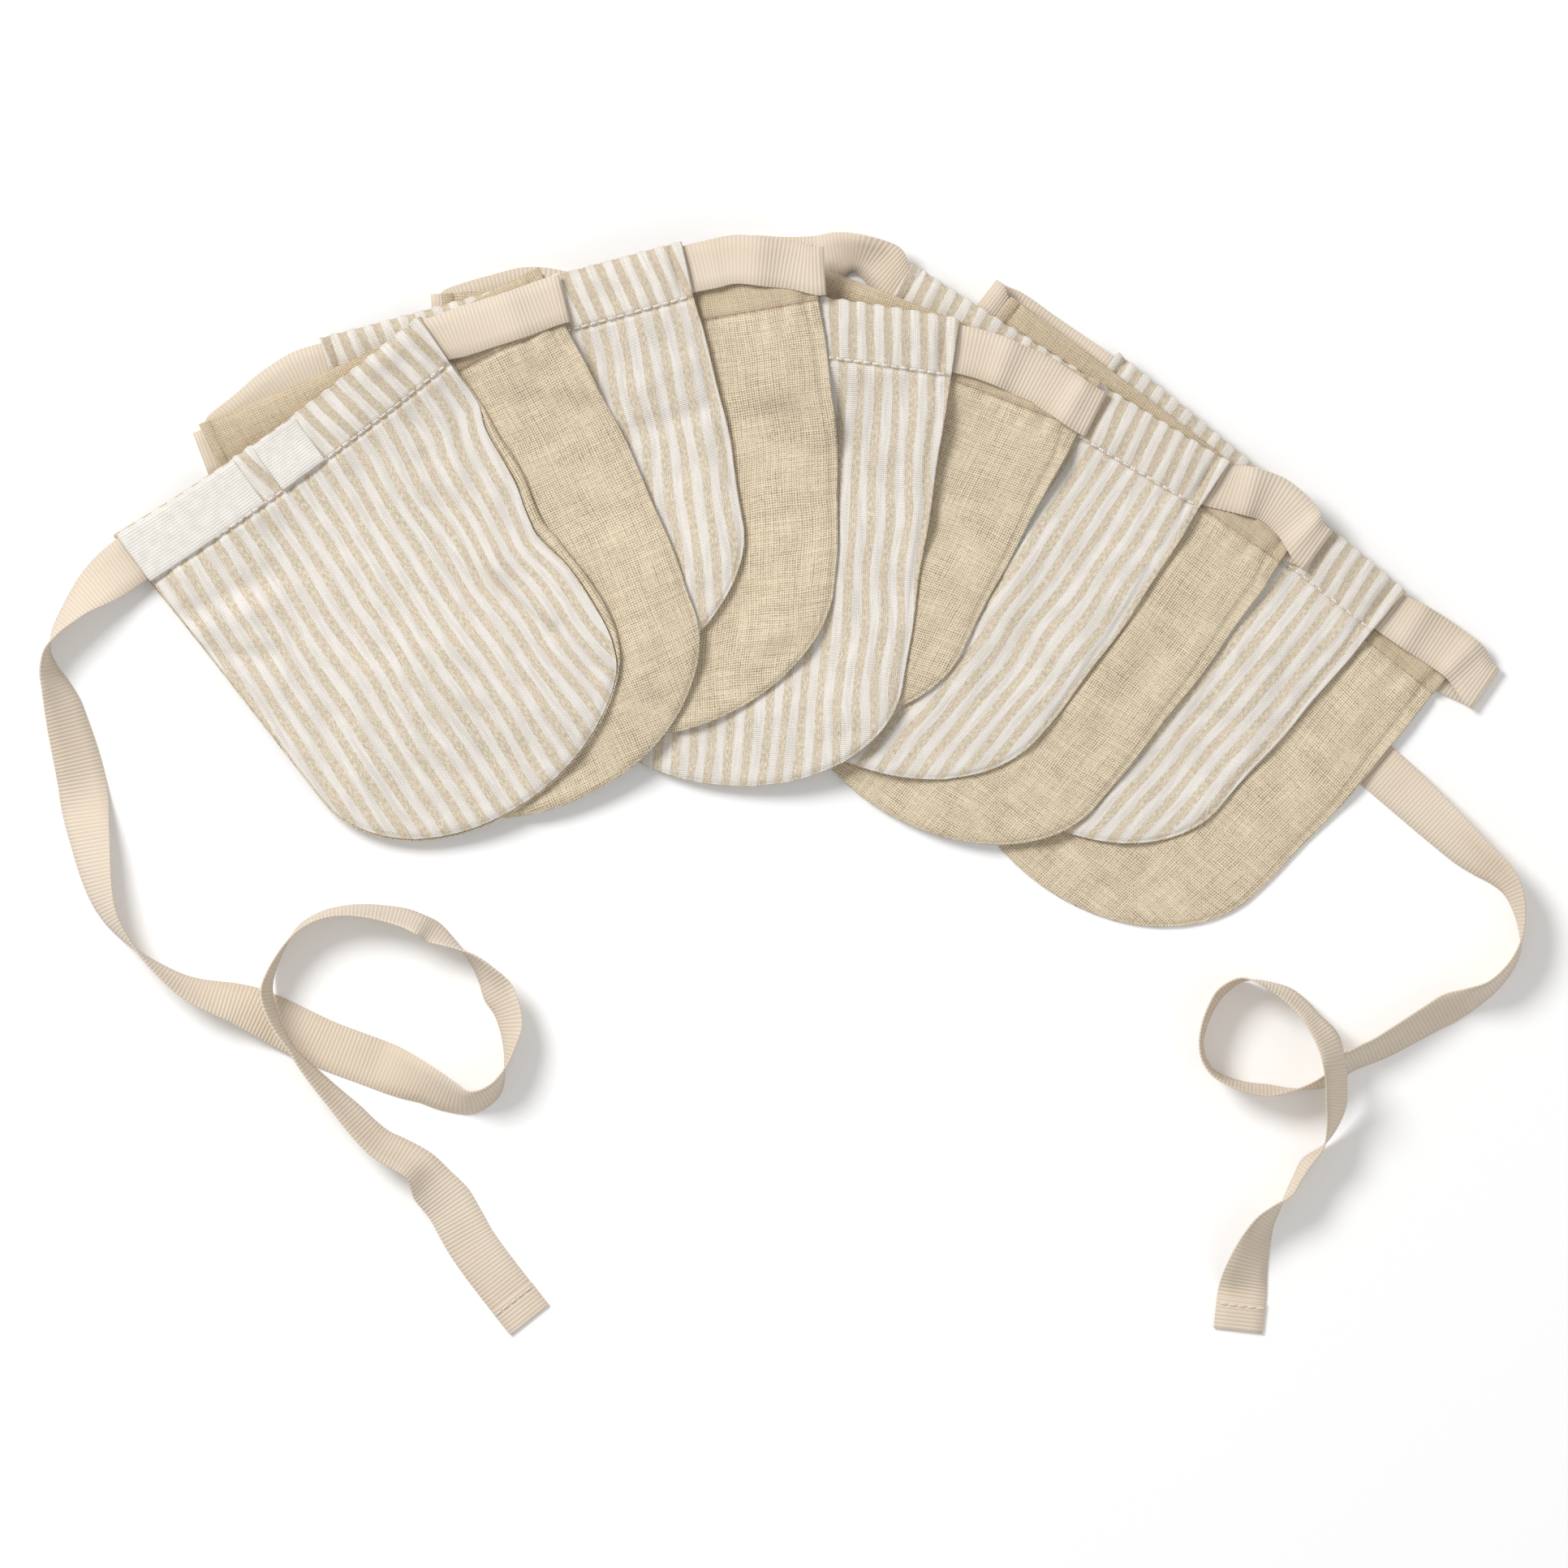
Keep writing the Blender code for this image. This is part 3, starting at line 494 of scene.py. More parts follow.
def thin_sheet(name, centre, flat, thick, looks, marks=None):
    """A closed sheet round a grid of middle points, with a rounded rim.

    flat gives each point's place in the uncut cloth, and marks further numbers for the material.
    """
    rows, columns = centre.shape[:2]
    normal = grid_normals(centre)
    rim = rim_of(rows, columns)
    edge = centre[rim[:, 0], rim[:, 1]]
    inner = centre[rim[:, 0] - rim[:, 2], rim[:, 1] - rim[:, 3]]
    out = edge - inner
    out /= np.linalg.norm(out, axis=1)[:, None]
    top = (centre + normal * thick / 2).reshape(-1, 3)
    bottom = (centre - normal * thick / 2).reshape(-1, 3)
    points = np.vstack([top, bottom, edge + out * thick / 3])
    count = rows * columns
    at = np.arange(count).reshape(rows, columns)
    a, b, c, d = at[:-1, :-1].ravel(), at[:-1, 1:].ravel(), at[1:, 1:].ravel(), at[1:, :-1].ravel()
    upper = at[rim[:, 0], rim[:, 1]]
    middle = 2 * count + np.arange(len(rim))
    after, middle_after = np.roll(upper, -1), np.roll(middle, -1)
    faces = np.vstack([
        np.column_stack([a, d, c, b]),
        np.column_stack([a, b, c, d]) + count,
        np.column_stack([upper, middle, middle_after, after]),
        np.column_stack([middle, upper + count, after + count, middle_after]),
    ])
    owner = np.concatenate([np.arange(count), np.arange(count), upper])
    return cloth_object(name, points, faces, flat.reshape(-1, 2)[owner], looks,
                        {key: value.ravel()[owner] for key, value in (marks or {}).items()})


def cloth_object(name, points, faces, flat, looks, marks):
    """A smooth mesh object from points in millimetres."""
    mesh = bpy.data.meshes.new(name)
    mesh.from_pydata((points * MM).tolist(), [], faces.tolist())
    layer = mesh.uv_layers.new(name="flat")
    owner = np.empty(len(mesh.loops), dtype=int)
    mesh.loops.foreach_get("vertex_index", owner)
    layer.data.foreach_set("uv", (flat[owner] * MM).ravel())
    for key, value in marks.items():
        mesh.attributes.new(key, "FLOAT", "POINT").data.foreach_set("value", value)
    mesh.polygons.foreach_set("use_smooth", [True] * len(mesh.polygons))
    mesh.materials.append(looks)
    mesh.update()
    return placed(name, mesh)


def placed(name, data):
    """A new object in the scene."""
    obj = bpy.data.objects.new(name, data)
    bpy.context.scene.collection.objects.link(obj)
    return obj


# -------- panels

def straight_across(run, s, v):
    """Where each point lies across the straight cloth."""
    below = np.maximum(0, v - CASING)
    turn = RUN_TURNS * np.log1p(below / RUN_TURNS)
    above = s * (1 + run.gather_above / SPREAD_AT) - run.start_above - run.channel * (v - CASING)
    body = s * (1 + run.gather_below / SPREAD_AT) - run.start_below - run.lower * below
    body -= (run.upper - run.lower) * turn
    share = soft_step(CASING - 0.6, CASING + 0.6, v)
    return above + share * (body - above)


def thread_place(pennant, s, v):
    """Where each point lies in the straight cloth, so that stripes and weave run as they should."""
    run = STRIPES.get(pennant.number, PLAIN_RUN)
    wave = unevenness(STRIPE_WANDER, s, v, pennant.number) * soft_step(0, 30, v - CASING)
    fine = unevenness(FINE_WANDER, s, 0.6 * v, pennant.number)
    across = straight_across(run, s, v) + wave + fine
    down = v + unevenness(WEFT_WANDER, s, v, pennant.number)
    return np.stack([across, down], axis=-1)


def rim_distance(pennant, u, w):
    """About how far each point is from the edge of its panel."""
    s, v = cut_sv(pennant, u, w)
    low = pennant.length - TIP_LENGTH
    half = HALF_TOP + (HALF_LOW - HALF_TOP) * np.minimum(v, low) / low
    side = half - np.abs(s)
    tip = (1 - np.hypot(s / HALF_LOW, np.maximum(0, v - low) / TIP_LENGTH)) * (HALF_LOW + TIP_LENGTH) / 2
    return np.minimum(np.minimum(v, side), tip)


def whiteness(pennant, s, v):
    """1 in the middle of a white stripe and 0 in the middle of a sand one."""
    across = thread_place(pennant, s, v)[..., 0]
    return 0.5 + 0.5 * np.cos(TAU * across / STRIPE_PERIOD)


def stitch_pucker(pennant, s, v):
    """The tuck below the stitch line and the small ridges across it, which fade into the cloth."""
    below = v - CASING
    phase = unevenness(RIDGE_WANDER, s, 0 * s, pennant.number)
    lean = 0.25 * np.maximum(0, below)
    coarse, fine = PUCKER_LONG
    ridge = np.sin(TAU * (s + lean) / coarse + phase) + 0.6 * np.sin(TAU * (s - lean) / fine + 2 * phase)
    fade = np.where(below < 0, np.exp(below / 4.0), np.exp(-below / 11.0))
    tuck = np.exp(-((below - 0.7) / 0.8) ** 2)
    lip = np.exp(-((below + 0.9) / 1.0) ** 2)
    return PUCKER * ridge * fade - TUCK * tuck + LIP * lip


def creases(pennant, s, v):
    """The soft troughs and ridges that show on the pennant."""
    total = np.zeros(np.shape(s))
    for number, s0, v0, s1, v1, rise, wide in CREASES:
        if number != pennant.number:
            continue
        long = (s1 - s0) ** 2 + (v1 - v0) ** 2
        share = ((s - s0) * (s1 - s0) + (v - v0) * (v1 - v0)) / long
        share = np.clip(share, 0, 1)
        off = np.hypot(s - s0 - share * (s1 - s0), v - v0 - share * (v1 - v0))
        total += rise * np.exp(-(off / wide) ** 2)
    return total


def upper_relief(pennant, u, w):
    """How far the upper panel stands off the smooth lie of its solid."""
    s, v = cut_sv(pennant, u, w)
    edge = rim_distance(pennant, u, w)
    channel = 1 - soft_step(CASING - 2, CASING + 1, v)
    open_end = channel * soft_step(HALF_TOP - 3.0, HALF_TOP - 1.0, np.abs(s))
    covered = np.minimum(1, down_side(ROLLED_SIDES, pennant, v)) * soft_step(0.8, 0.95, u)
    loft = LOFT * soft_step(0.6, 5.0, edge)
    roll = -EDGE_ROLL * (1 - soft_step(0.0, 2.0, edge)) * (1 - open_end) * (1 - covered)
    seam = SEAM_RISE * soft_step(0.7, 1.8, edge) * (1 - soft_step(2.5, 6.5, edge)) * (1 - channel)
    swell = unevenness(CLOTH_SWELL, s, v, pennant.number) * soft_step(3, 14, edge)
    small = unevenness(CLOTH_BUMPS, s, v, pennant.number) * soft_step(2, 8, edge)
    bulge = CHANNEL_BULGE * channel * np.sin(math.pi * np.clip(v / CASING, 0, 1))
    from_end = HALF_TOP - np.abs(s)
    groove = END_HEM_GROOVE * np.exp(-((from_end - END_HEM_WIDE) / 0.6) ** 2)
    end_hem = channel * (END_HEM_RISE * (1 - soft_step(3.0, 4.2, from_end)) - groove)
    blister = 0.0
    if pennant.number % 2:
        below = np.exp(-np.maximum(0, v - CASING) / BLISTER_FADE)
        blister = BLISTER + BLISTER_BELOW * below + BLISTER_CHANNEL * channel
        blister = blister * whiteness(pennant, s, v) * (1 - channel * (1 - free_of_labels(pennant, s)))
    return (
        loft + roll + seam + swell + small + bulge + end_hem + blister
        + creases(pennant, s, v) + stitch_pucker(pennant, s, v)
    )


def lower_relief(pennant, u, w):
    """The lower panel comes up to the upper one at the seam, and over its side where it is rolled."""
    edge = rim_distance(pennant, u, w)
    share, from_side, wide = rolled_band(pennant, u, w)
    crown = ROLL_CROWN * np.sin(math.pi * np.clip(from_side / np.maximum(wide, 0.5), 0, 1))
    fall = -ROLL_FALL * (1 - soft_step(0.0, 1.0, from_side))
    return SEAM_MEET * (1 - soft_step(0.0, 3.0, edge)) * (1 - share) + share * (ROLL_RISE + crown + fall)


def rolled_band(pennant, u, w):
    """1 in the band that is rolled to the front and 0 beside it, how far from the side, and how wide."""
    v = cut_sv(pennant, u, w)[1]
    wide = down_side(ROLLED_SIDES, pennant, v)
    half = HALF_TOP + (HALF_LOW - HALF_TOP) * np.minimum(v / (pennant.length - TIP_LENGTH), 1)
    from_side = (1 - u) * half
    inner = wide + BACK_SHOWS - 0.25
    share = soft_step(0.0, 0.65, inner - from_side) * soft_step(0.6, 1.6, wide)
    return share, from_side, wide


def fine_rows(pennant, step):
    """w of the rows of a fine panel: close together at the stitch line and the edges, and even elsewhere."""
    first, last = STITCH_ROWS
    rim = np.array(RIM_STEPS)
    above = np.linspace(RIM_WIDE, first, round((first - RIM_WIDE) / min(step, 1.0)) + 1)[:-1]
    line = np.arange(first, last, STITCH_STEP)
    long = pennant.length - RIM_WIDE - last
    below = np.linspace(last, pennant.length - RIM_WIDE, round(long / step) + 1)
    return np.concatenate([rim, above, line, below, pennant.length - rim[::-1]])


def fine_columns(pennant, step, lower):
    """u of the columns of a fine panel: close together at the sides, where hems and a rolled band lie."""
    rim = np.array(RIM_STEPS) / HALF_TOP
    reach = SIDE_REACH if pennant.number in ROLLED_SIDES or not lower else RIM_WIDE
    outer, inner = 1 - RIM_WIDE / HALF_TOP, 1 - reach / HALF_TOP
    even = np.linspace(-inner, inner, round(2 * inner * HALF_TOP / step) + 1)
    close = np.linspace(inner, outer, round((outer - inner) * HALF_TOP / STITCH_STEP) + 1)[1:]
    return np.concatenate([-1 + rim, -close[::-1], even, close, 1 - rim[::-1]])


def panel(frame, pennant, lower, looks):
    """One panel of a pennant as a thin sheet on the folds of its solid."""
    kind = cloths(pennant.number)[lower]
    node = panel_node(pennant.number, lower)
    extra = BACK_SHOWS if lower else 0.0
    knots_u, knots_w = np.linspace(-1, 1, ACROSS + 1), solid_rows(pennant)
    grid_u, grid_w = np.meshgrid(knots_u, knots_w)
    solid_mid = middle_heights(frame["nodes"][node], *panel_xy(pennant, grid_u, grid_w, extra))
    step = LOWER_STEP if lower else UPPER_STEP
    w = fine_rows(pennant, step)
    u = fine_columns(pennant, step, lower)
    smooth = smooth_grid(knots_w, knots_u, solid_mid, w, u)
    fine_u, fine_w = np.meshgrid(u, w)
    s, v = cut_sv(pennant, fine_u, fine_w)
    rolled = down_side(ROLLED_SIDES, pennant, v).any()
    if lower:
        x, y = panel_xy(pennant, fine_u, fine_w, extra if rolled else BACK_HIDDEN, True)
    else:
        x, y = edge_play(pennant, fine_u, fine_w, s, v)
    normal = grid_normals(np.dstack([x, y, smooth]))
    half = SOLID_THICK / 2 / np.maximum(normal[:, :, 2], 0.75)
    low, high = room_for(tree_without(frame, node), x, y, smooth, half)
    if lower and rolled:
        both_out = tree_without(frame, node, panel_node(pennant.number, False))
        free_high = room_for(both_out, x, y, smooth, half)[1]
        high = np.where(rolled_band(pennant, fine_u, fine_w)[0] > 0, free_high, high)
    relief = (lower_relief if lower else upper_relief)(pennant, fine_u, fine_w)
    z = np.clip(smooth + relief, low, high)
    # channel marks the casing, where the materials paint shade
    marks = {"channel": 1 - soft_step(CASING - 0.5, CASING + 0.5, v)}
    piece = thin_sheet("pennant_{:02d}_{}".format(pennant.number, kind), np.dstack([x, y, z]),
                       thread_place(pennant, s, v), CLOTH_THICK, looks[kind], marks)
    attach(piece, "root")
    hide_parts(node)
    sewn = []
    if not lower:
        row = int(np.argmin(np.abs(w - CASING)))
        sewn.append(stitch_line(pennant, kind, s[row], z[row], looks))
    return piece, sewn


def free_of_labels(pennant, s):
    """0 where a label holds the cloth of the channel flat, and 1 elsewhere."""
    free = np.ones(np.shape(s))
    if pennant.number == 1:
        for _, start, end in LABELS:
            free -= soft_step(start - 1, start, s) * (1 - soft_step(end, end + 1, s))
    return free


def edge_play(pennant, u, w, s, v):
    """Plan of the upper panel, whose white stripes push the top edge out and whose sides roll in a little."""
    push = 0.0
    if pennant.number % 2:
        push = NUB_OUT * whiteness(pennant, s, v) * (1 - soft_step(0.0, 4.0, v))
        push = push * free_of_labels(pennant, s)
    rolled = down_side(ROLLED_SIDES, pennant, v)
    pulled = u - rolled / HALF_LOW * soft_step(0.4, 1.0, u)
    return panel_xy(pennant, pulled, w - push, 0.0, True)


def stitch_shape(radius, share):
    """How high and how wide a stitch is along its length: it dips into the cloth at both ends."""
    ends = (2 * share - 1) ** 4
    return radius * (1 - ends), radius * (1 - STITCH_NARROW * ends)


def stitch_line(pennant, kind, s_row, z_row, looks):
    """The stitches that close the channel."""
    draw = np.random.default_rng(STITCH_SEED + pennant.number)
    radius = STITCH_RADIUS[kind]
    share = np.linspace(0, 1, STITCH_CUTS)
    high, width = stitch_shape(radius, share)
    first, last = STITCH_MARGINS
    paths = []
    for start in np.arange(-HALF_TOP + first, HALF_TOP - last, STITCH_PITCH):
        s = start + share * STITCH_LONG + draw.uniform(-STITCH_SHIFT, STITCH_SHIFT)
        slant = draw.uniform(-STITCH_SLANT, STITCH_SLANT)
        v = CASING - STITCH_ABOVE + slant * (share - 0.5) * 2
        x, y = pennant_xy(pennant, s, v)
        z = np.interp(s, s_row, z_row) + (CLOTH_THICK / 2 - STITCH_SUNK * radius + high)
        paths.append(np.column_stack([x, y, z]))
    return stitches("stitches_{:02d}".format(pennant.number), paths, width, looks["thread_" + kind])


def stitches(name, paths, width, looks):
    """A row of stitches as one piece of short threads."""
    points, faces, flat = [], [], []
    for path in paths:
        add_thread(points, faces, flat, path, width)
    piece = cloth_object(name, np.array(points), np.array(faces), np.array(flat), looks, {})
    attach(piece, "root")
    return piece


def add_thread(points, faces, flat, path, width):
    """Adds a round thread along a path, closed at its ends by narrowing to a small ring."""
    ahead = np.gradient(path, axis=0)
    ahead /= np.linalg.norm(ahead, axis=1)[:, None]
    side = np.cross(ahead, (0.0, 0.0, 1.0))
    side /= np.linalg.norm(side, axis=1)[:, None]
    up = np.cross(side, ahead)
    first = len(points)
    for k, place in enumerate(path):
        for n in range(THREAD_SIDES):
            angle = TAU * n / THREAD_SIDES
            points.append(place + width[k] * (math.cos(angle) * side[k] + math.sin(angle) * up[k]))
            flat.append((n / THREAD_SIDES, k * 0.5))
    for k in range(len(path) - 1):
        for n in range(THREAD_SIDES):
            a = first + k * THREAD_SIDES + n
            b = first + k * THREAD_SIDES + (n + 1) % THREAD_SIDES
            faces.append((a, b, b + THREAD_SIDES, a + THREAD_SIDES))
    last = first + (len(path) - 1) * THREAD_SIDES
    for ring, turn in ((first, -1), (last, 1)):
        order = list(range(THREAD_SIDES))[::turn]
        for n in range(1, THREAD_SIDES - 1, 2):
            faces.append(tuple(ring + order[m % THREAD_SIDES] for m in (0, n, n + 1, n + 2)))


def pennants(frame, looks):
    """All panels: the back and the front of each pennant."""
    for pennant in PENNANTS:
        back, _ = panel(frame, pennant, True, looks)
        front, sewn = panel(frame, pennant, False, looks)


# -------- ribbon

def first_ring(points):
    """Corners of the ribbon's right-hand end, the lowest place in plan on the right, in order round it."""
    ends = np.argsort(np.where(points[:, 0] > 0, points[:, 1], np.inf))[:4]
    side_a, side_b = np.split(ends[np.argsort(points[ends, 0])], 2)
    lower_a, upper_a = side_a[np.argsort(points[side_a, 2])]
    lower_b, upper_b = side_b[np.argsort(points[side_b, 2])]
    return [int(corner) for corner in (upper_a, upper_b, lower_b, lower_a)]


def ribbon_rings(node):
    """The four corners of each cross-section of the ribbon's solid, from its right-hand end on."""
    points, owner = np.unique(np.round(node_points(node), 4), axis=0, return_inverse=True)
    owner = owner.ravel()
    near = [set() for _ in points]
    for face in node_faces(node):
        a, b, c = (int(owner[n]) for n in face)
        for p, q in ((a, b), (b, c), (c, a)):
            near[p].add(q)
            near[q].add(p)
    ring = first_ring(points)
    rings, seen = [ring], set(ring)
    while True:
        far = [near[n] - seen for n in ring]
        if not far[2]:
            break
        lower_b = next(iter(far[2]))
        upper_b = next(iter(far[1] - {lower_b}))
        upper_a = next(iter(far[0] - {upper_b}))
        lower_a = next(iter(far[3] - {lower_b, upper_a}))
        ring = [upper_a, upper_b, lower_b, lower_a]
        rings.append(ring)
        seen |= set(ring)
    return points[np.array(rings)]


def ribbon_edges(rings):
    """Middle of the thickness at both edges of each cross-section. A hem's extra thickness is left out."""
    solid = SOLID_THICK / 2
    upper = (rings[:, 0] + rings[:, 1]) / 2
    lower = (rings[:, 3] + rings[:, 2]) / 2
    thick = np.linalg.norm(upper - lower, axis=1)
    up = (upper - lower) / thick[:, None]
    hem = np.maximum(0, thick - SOLID_THICK)
    shift = up * (thick / 2 - solid)[:, None] * np.where(up[:, 2] > 0, 1, -1)[:, None]
    middle_a = (rings[:, 0] + rings[:, 3]) / 2
    middle_b = (rings[:, 1] + rings[:, 2]) / 2
    return middle_a - shift * (hem > 0)[:, None], middle_b - shift * (hem > 0)[:, None]


def hem_back(edge_a, edge_b):
    """The stretch that turns over at the first pair and runs back on top, from its far end to the turn."""
    middle = (edge_a + edge_b) / 2
    walked = distance_along(middle)
    back = walked < HEM_LONG
    ahead = middle[1] - middle[0]
    ahead /= np.linalg.norm(ahead)
    up = np.array((0, 0, HEM_LIFT))
    flap = [edge[back] + up for edge in (edge_a, edge_b)]
    turn = []
    for edge in (edge_a, edge_b):
        rows = []
        for angle in np.radians((60, 20, -20, -60)):
            rows.append(edge[0] - ahead * HEM_LIFT / 2 * math.cos(angle) + up / 2 * (1 + math.sin(angle)))
        turn.append(np.array(rows))
    return [np.vstack([part[::-1], bend]) for part, bend in zip(flap, turn)]


def ribbon(frame, looks):
    """The ribbon as one thin band through the sections of its solid, with its ends turned over as hems."""
    edge_a, edge_b = ribbon_edges(ribbon_rings(frame["nodes"]["ribbon"]))
    walked = distance_along((edge_a + edge_b) / 2)
    at = np.linspace(0, walked[-1], round(walked[-1] / RIBBON_STEP) + 1)
    both = np.hstack([edge_a, edge_b])
    fine = cubic(walked, both, at, parabola_slopes(walked, both))
    edge_a, edge_b = fine[:, :3], fine[:, 3:]
    start = hem_back(edge_a, edge_b)
    end = hem_back(edge_a[::-1], edge_b[::-1])
    edge_a = np.vstack([start[0], edge_a, end[0][::-1]])
    edge_b = np.vstack([start[1], edge_b, end[1][::-1]])
    middle = (edge_a + edge_b) / 2
    along = distance_along(middle)
    wider = 1 + PICOT / RIBBON_WIDE * np.sin(TAU * along / RIB_PITCH)
    share = np.linspace(-1, 1, RIBBON_COLUMNS)[None, :, None] * wider[:, None, None] / 2
    centre = middle[:, None, :] + share * (edge_b - edge_a)[:, None, :]
    centre[:, :, 2] += waves(middle, along)[:, None]
    centre[:, :, 2] = np.maximum(centre[:, :, 2], RIBBON_CLOTH / 2 + CLOTH_MARGIN)
    across = np.linspace(-1, 1, RIBBON_COLUMNS) * RIBBON_WIDE / 2
    flat = np.stack(np.broadcast_arrays(across[None, :], along[:, None]), axis=-1)
    piece = thin_sheet("ribbon_grosgrain", centre, flat, RIBBON_CLOTH, looks["ribbon"])
    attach(piece, "root")
    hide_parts("ribbon")
    hem_stitches("stitches_hem_left", centre, along, along[-1] - HEM_STITCH_AT, looks)
    hem_stitches("stitches_hem_right", centre, along, HEM_STITCH_AT, looks)
    return piece


def waves(middle, along):
    """How far the ribbon stands up in gentle waves where it lies free on top of the heap."""
    total = np.zeros(len(middle))
    for x, y, rise, reach in RIBBON_WAVES:
        far = np.hypot(middle[:, 0] - x - SHIFT[0], middle[:, 1] - y - SHIFT[1])
        near = np.nonzero(far < far.min() + WAVE_NEAR)[0]
        top = near[np.argmax(middle[near, 2])]
        total += rise * np.exp(-((along - along[top]) / reach) ** 2)
    return total


def hem_stitches(name, centre, along, at, looks):
    """Stitches across the ribbon on one of its hems."""
    row = int(np.argmin(np.abs(along - at)))
    first, last = centre[row, 0], centre[row, -1]
    share = np.linspace(0, 1, STITCH_CUTS)
    high, width = stitch_shape(HEM_STITCH_RADIUS, share)
    paths = []
    for start in np.arange(HEM_STITCH_MARGIN, RIBBON_WIDE - STITCH_LONG, STITCH_PITCH):
        place = (start + share * STITCH_LONG) / RIBBON_WIDE
        path = first + place[:, None] * (last - first)
        path[:, 2] += RIBBON_CLOTH / 2 - HEM_STITCH_SUNK * HEM_STITCH_RADIUS + high
        paths.append(path)
    return stitches(name, paths, width, looks["thread_striped"])


# -------- labels

def label(frame, name, start, end, looks):
    """One woven label on the channel of the first pennant."""
    pennant = PENNANTS[0]
    rows = np.array(LABEL_ROWS)
    columns = np.linspace(start, end, round((end - start) / LABEL_SOLID_STEP) + 1)
    solid_s, solid_v = np.meshgrid(columns, rows)
    middle = middle_heights(frame["nodes"][name], *pennant_xy(pennant, solid_s, solid_v))
    v = np.linspace(rows[0], rows[-1], round((rows[-1] - rows[0]) / LABEL_STEP) + 1)
    s = np.linspace(start, end, round((end - start) / LABEL_STEP) + 1)
    smooth = smooth_grid(rows, columns, middle, v, s)
    fine_s, fine_v = np.meshgrid(s, v)
    x, y = pennant_xy(pennant, fine_s, fine_v)
    edge = np.minimum(np.minimum(fine_s - start, end - fine_s),
                      np.minimum(fine_v - rows[0], rows[-1] - fine_v))
    z = smooth - LABEL_EDGE_DROP * (1 - soft_step(0, LABEL_EDGE, edge))
    z = z + unevenness(LABEL_SWELL, fine_s, fine_v)
    flat = np.stack([fine_s, fine_v], axis=-1)
    piece = thin_sheet(name + "_woven", np.dstack([x, y, z]), flat, LABEL_CLOTH, looks["label"])
    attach(piece, "root")
    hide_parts(name)


# -------- materials

PLAIN_DEEP = (0.605, 0.495, 0.345)
PLAIN_PALE = (0.80, 0.685, 0.505)
PLAIN_OVER_HIGHLIGHT = (0.90, 0.79, 0.60)
PLAIN_HOLE = (0.26, 0.20, 0.13)
PLAIN_CHANNEL_SHADE = (0.42, 0.315, 0.195)
SAND_DEEP = (0.54, 0.455, 0.335)
SAND_PALE = (0.82, 0.73, 0.585)
SAND_WARM = (0.76, 0.625, 0.48)
SAND_CHANNEL_SHADE = (0.42, 0.345, 0.24)
WHITE_DEEP = (0.56, 0.52, 0.46)
WHITE_PALE = (0.85, 0.81, 0.76)
STRIPED_HOLE = (0.42, 0.35, 0.27)
RIBBON_DEEP = (0.73, 0.615, 0.485)
RIBBON_PALE = (0.785, 0.68, 0.55)
RIBBON_GAP_SHADE = (0.49, 0.39, 0.295)
LABEL_DEEP = (0.775, 0.745, 0.69)
LABEL_PALE = (0.84, 0.815, 0.765)
LABEL_DOT = (0.43, 0.40, 0.355)
THREAD_PALE = (0.86, 0.78, 0.70)
THREAD_SHADE = (0.62, 0.50, 0.40)
THREAD_WARM = (0.60, 0.42, 0.30)
THREAD_WARM_SHADE = (0.38, 0.25, 0.17)

# How threads wander: all together and each alone, and pitches in metres across and down
THREAD_DRIFT = 5.0
THREAD_STRAY = 4.5
PLAIN_PITCH = (0.00082, 0.0008)
STRIPED_PITCH = (0.0007, 0.00062)
RIBBON_YARN = 0.0004
LABEL_PITCH = (0.0008, 0.00105)


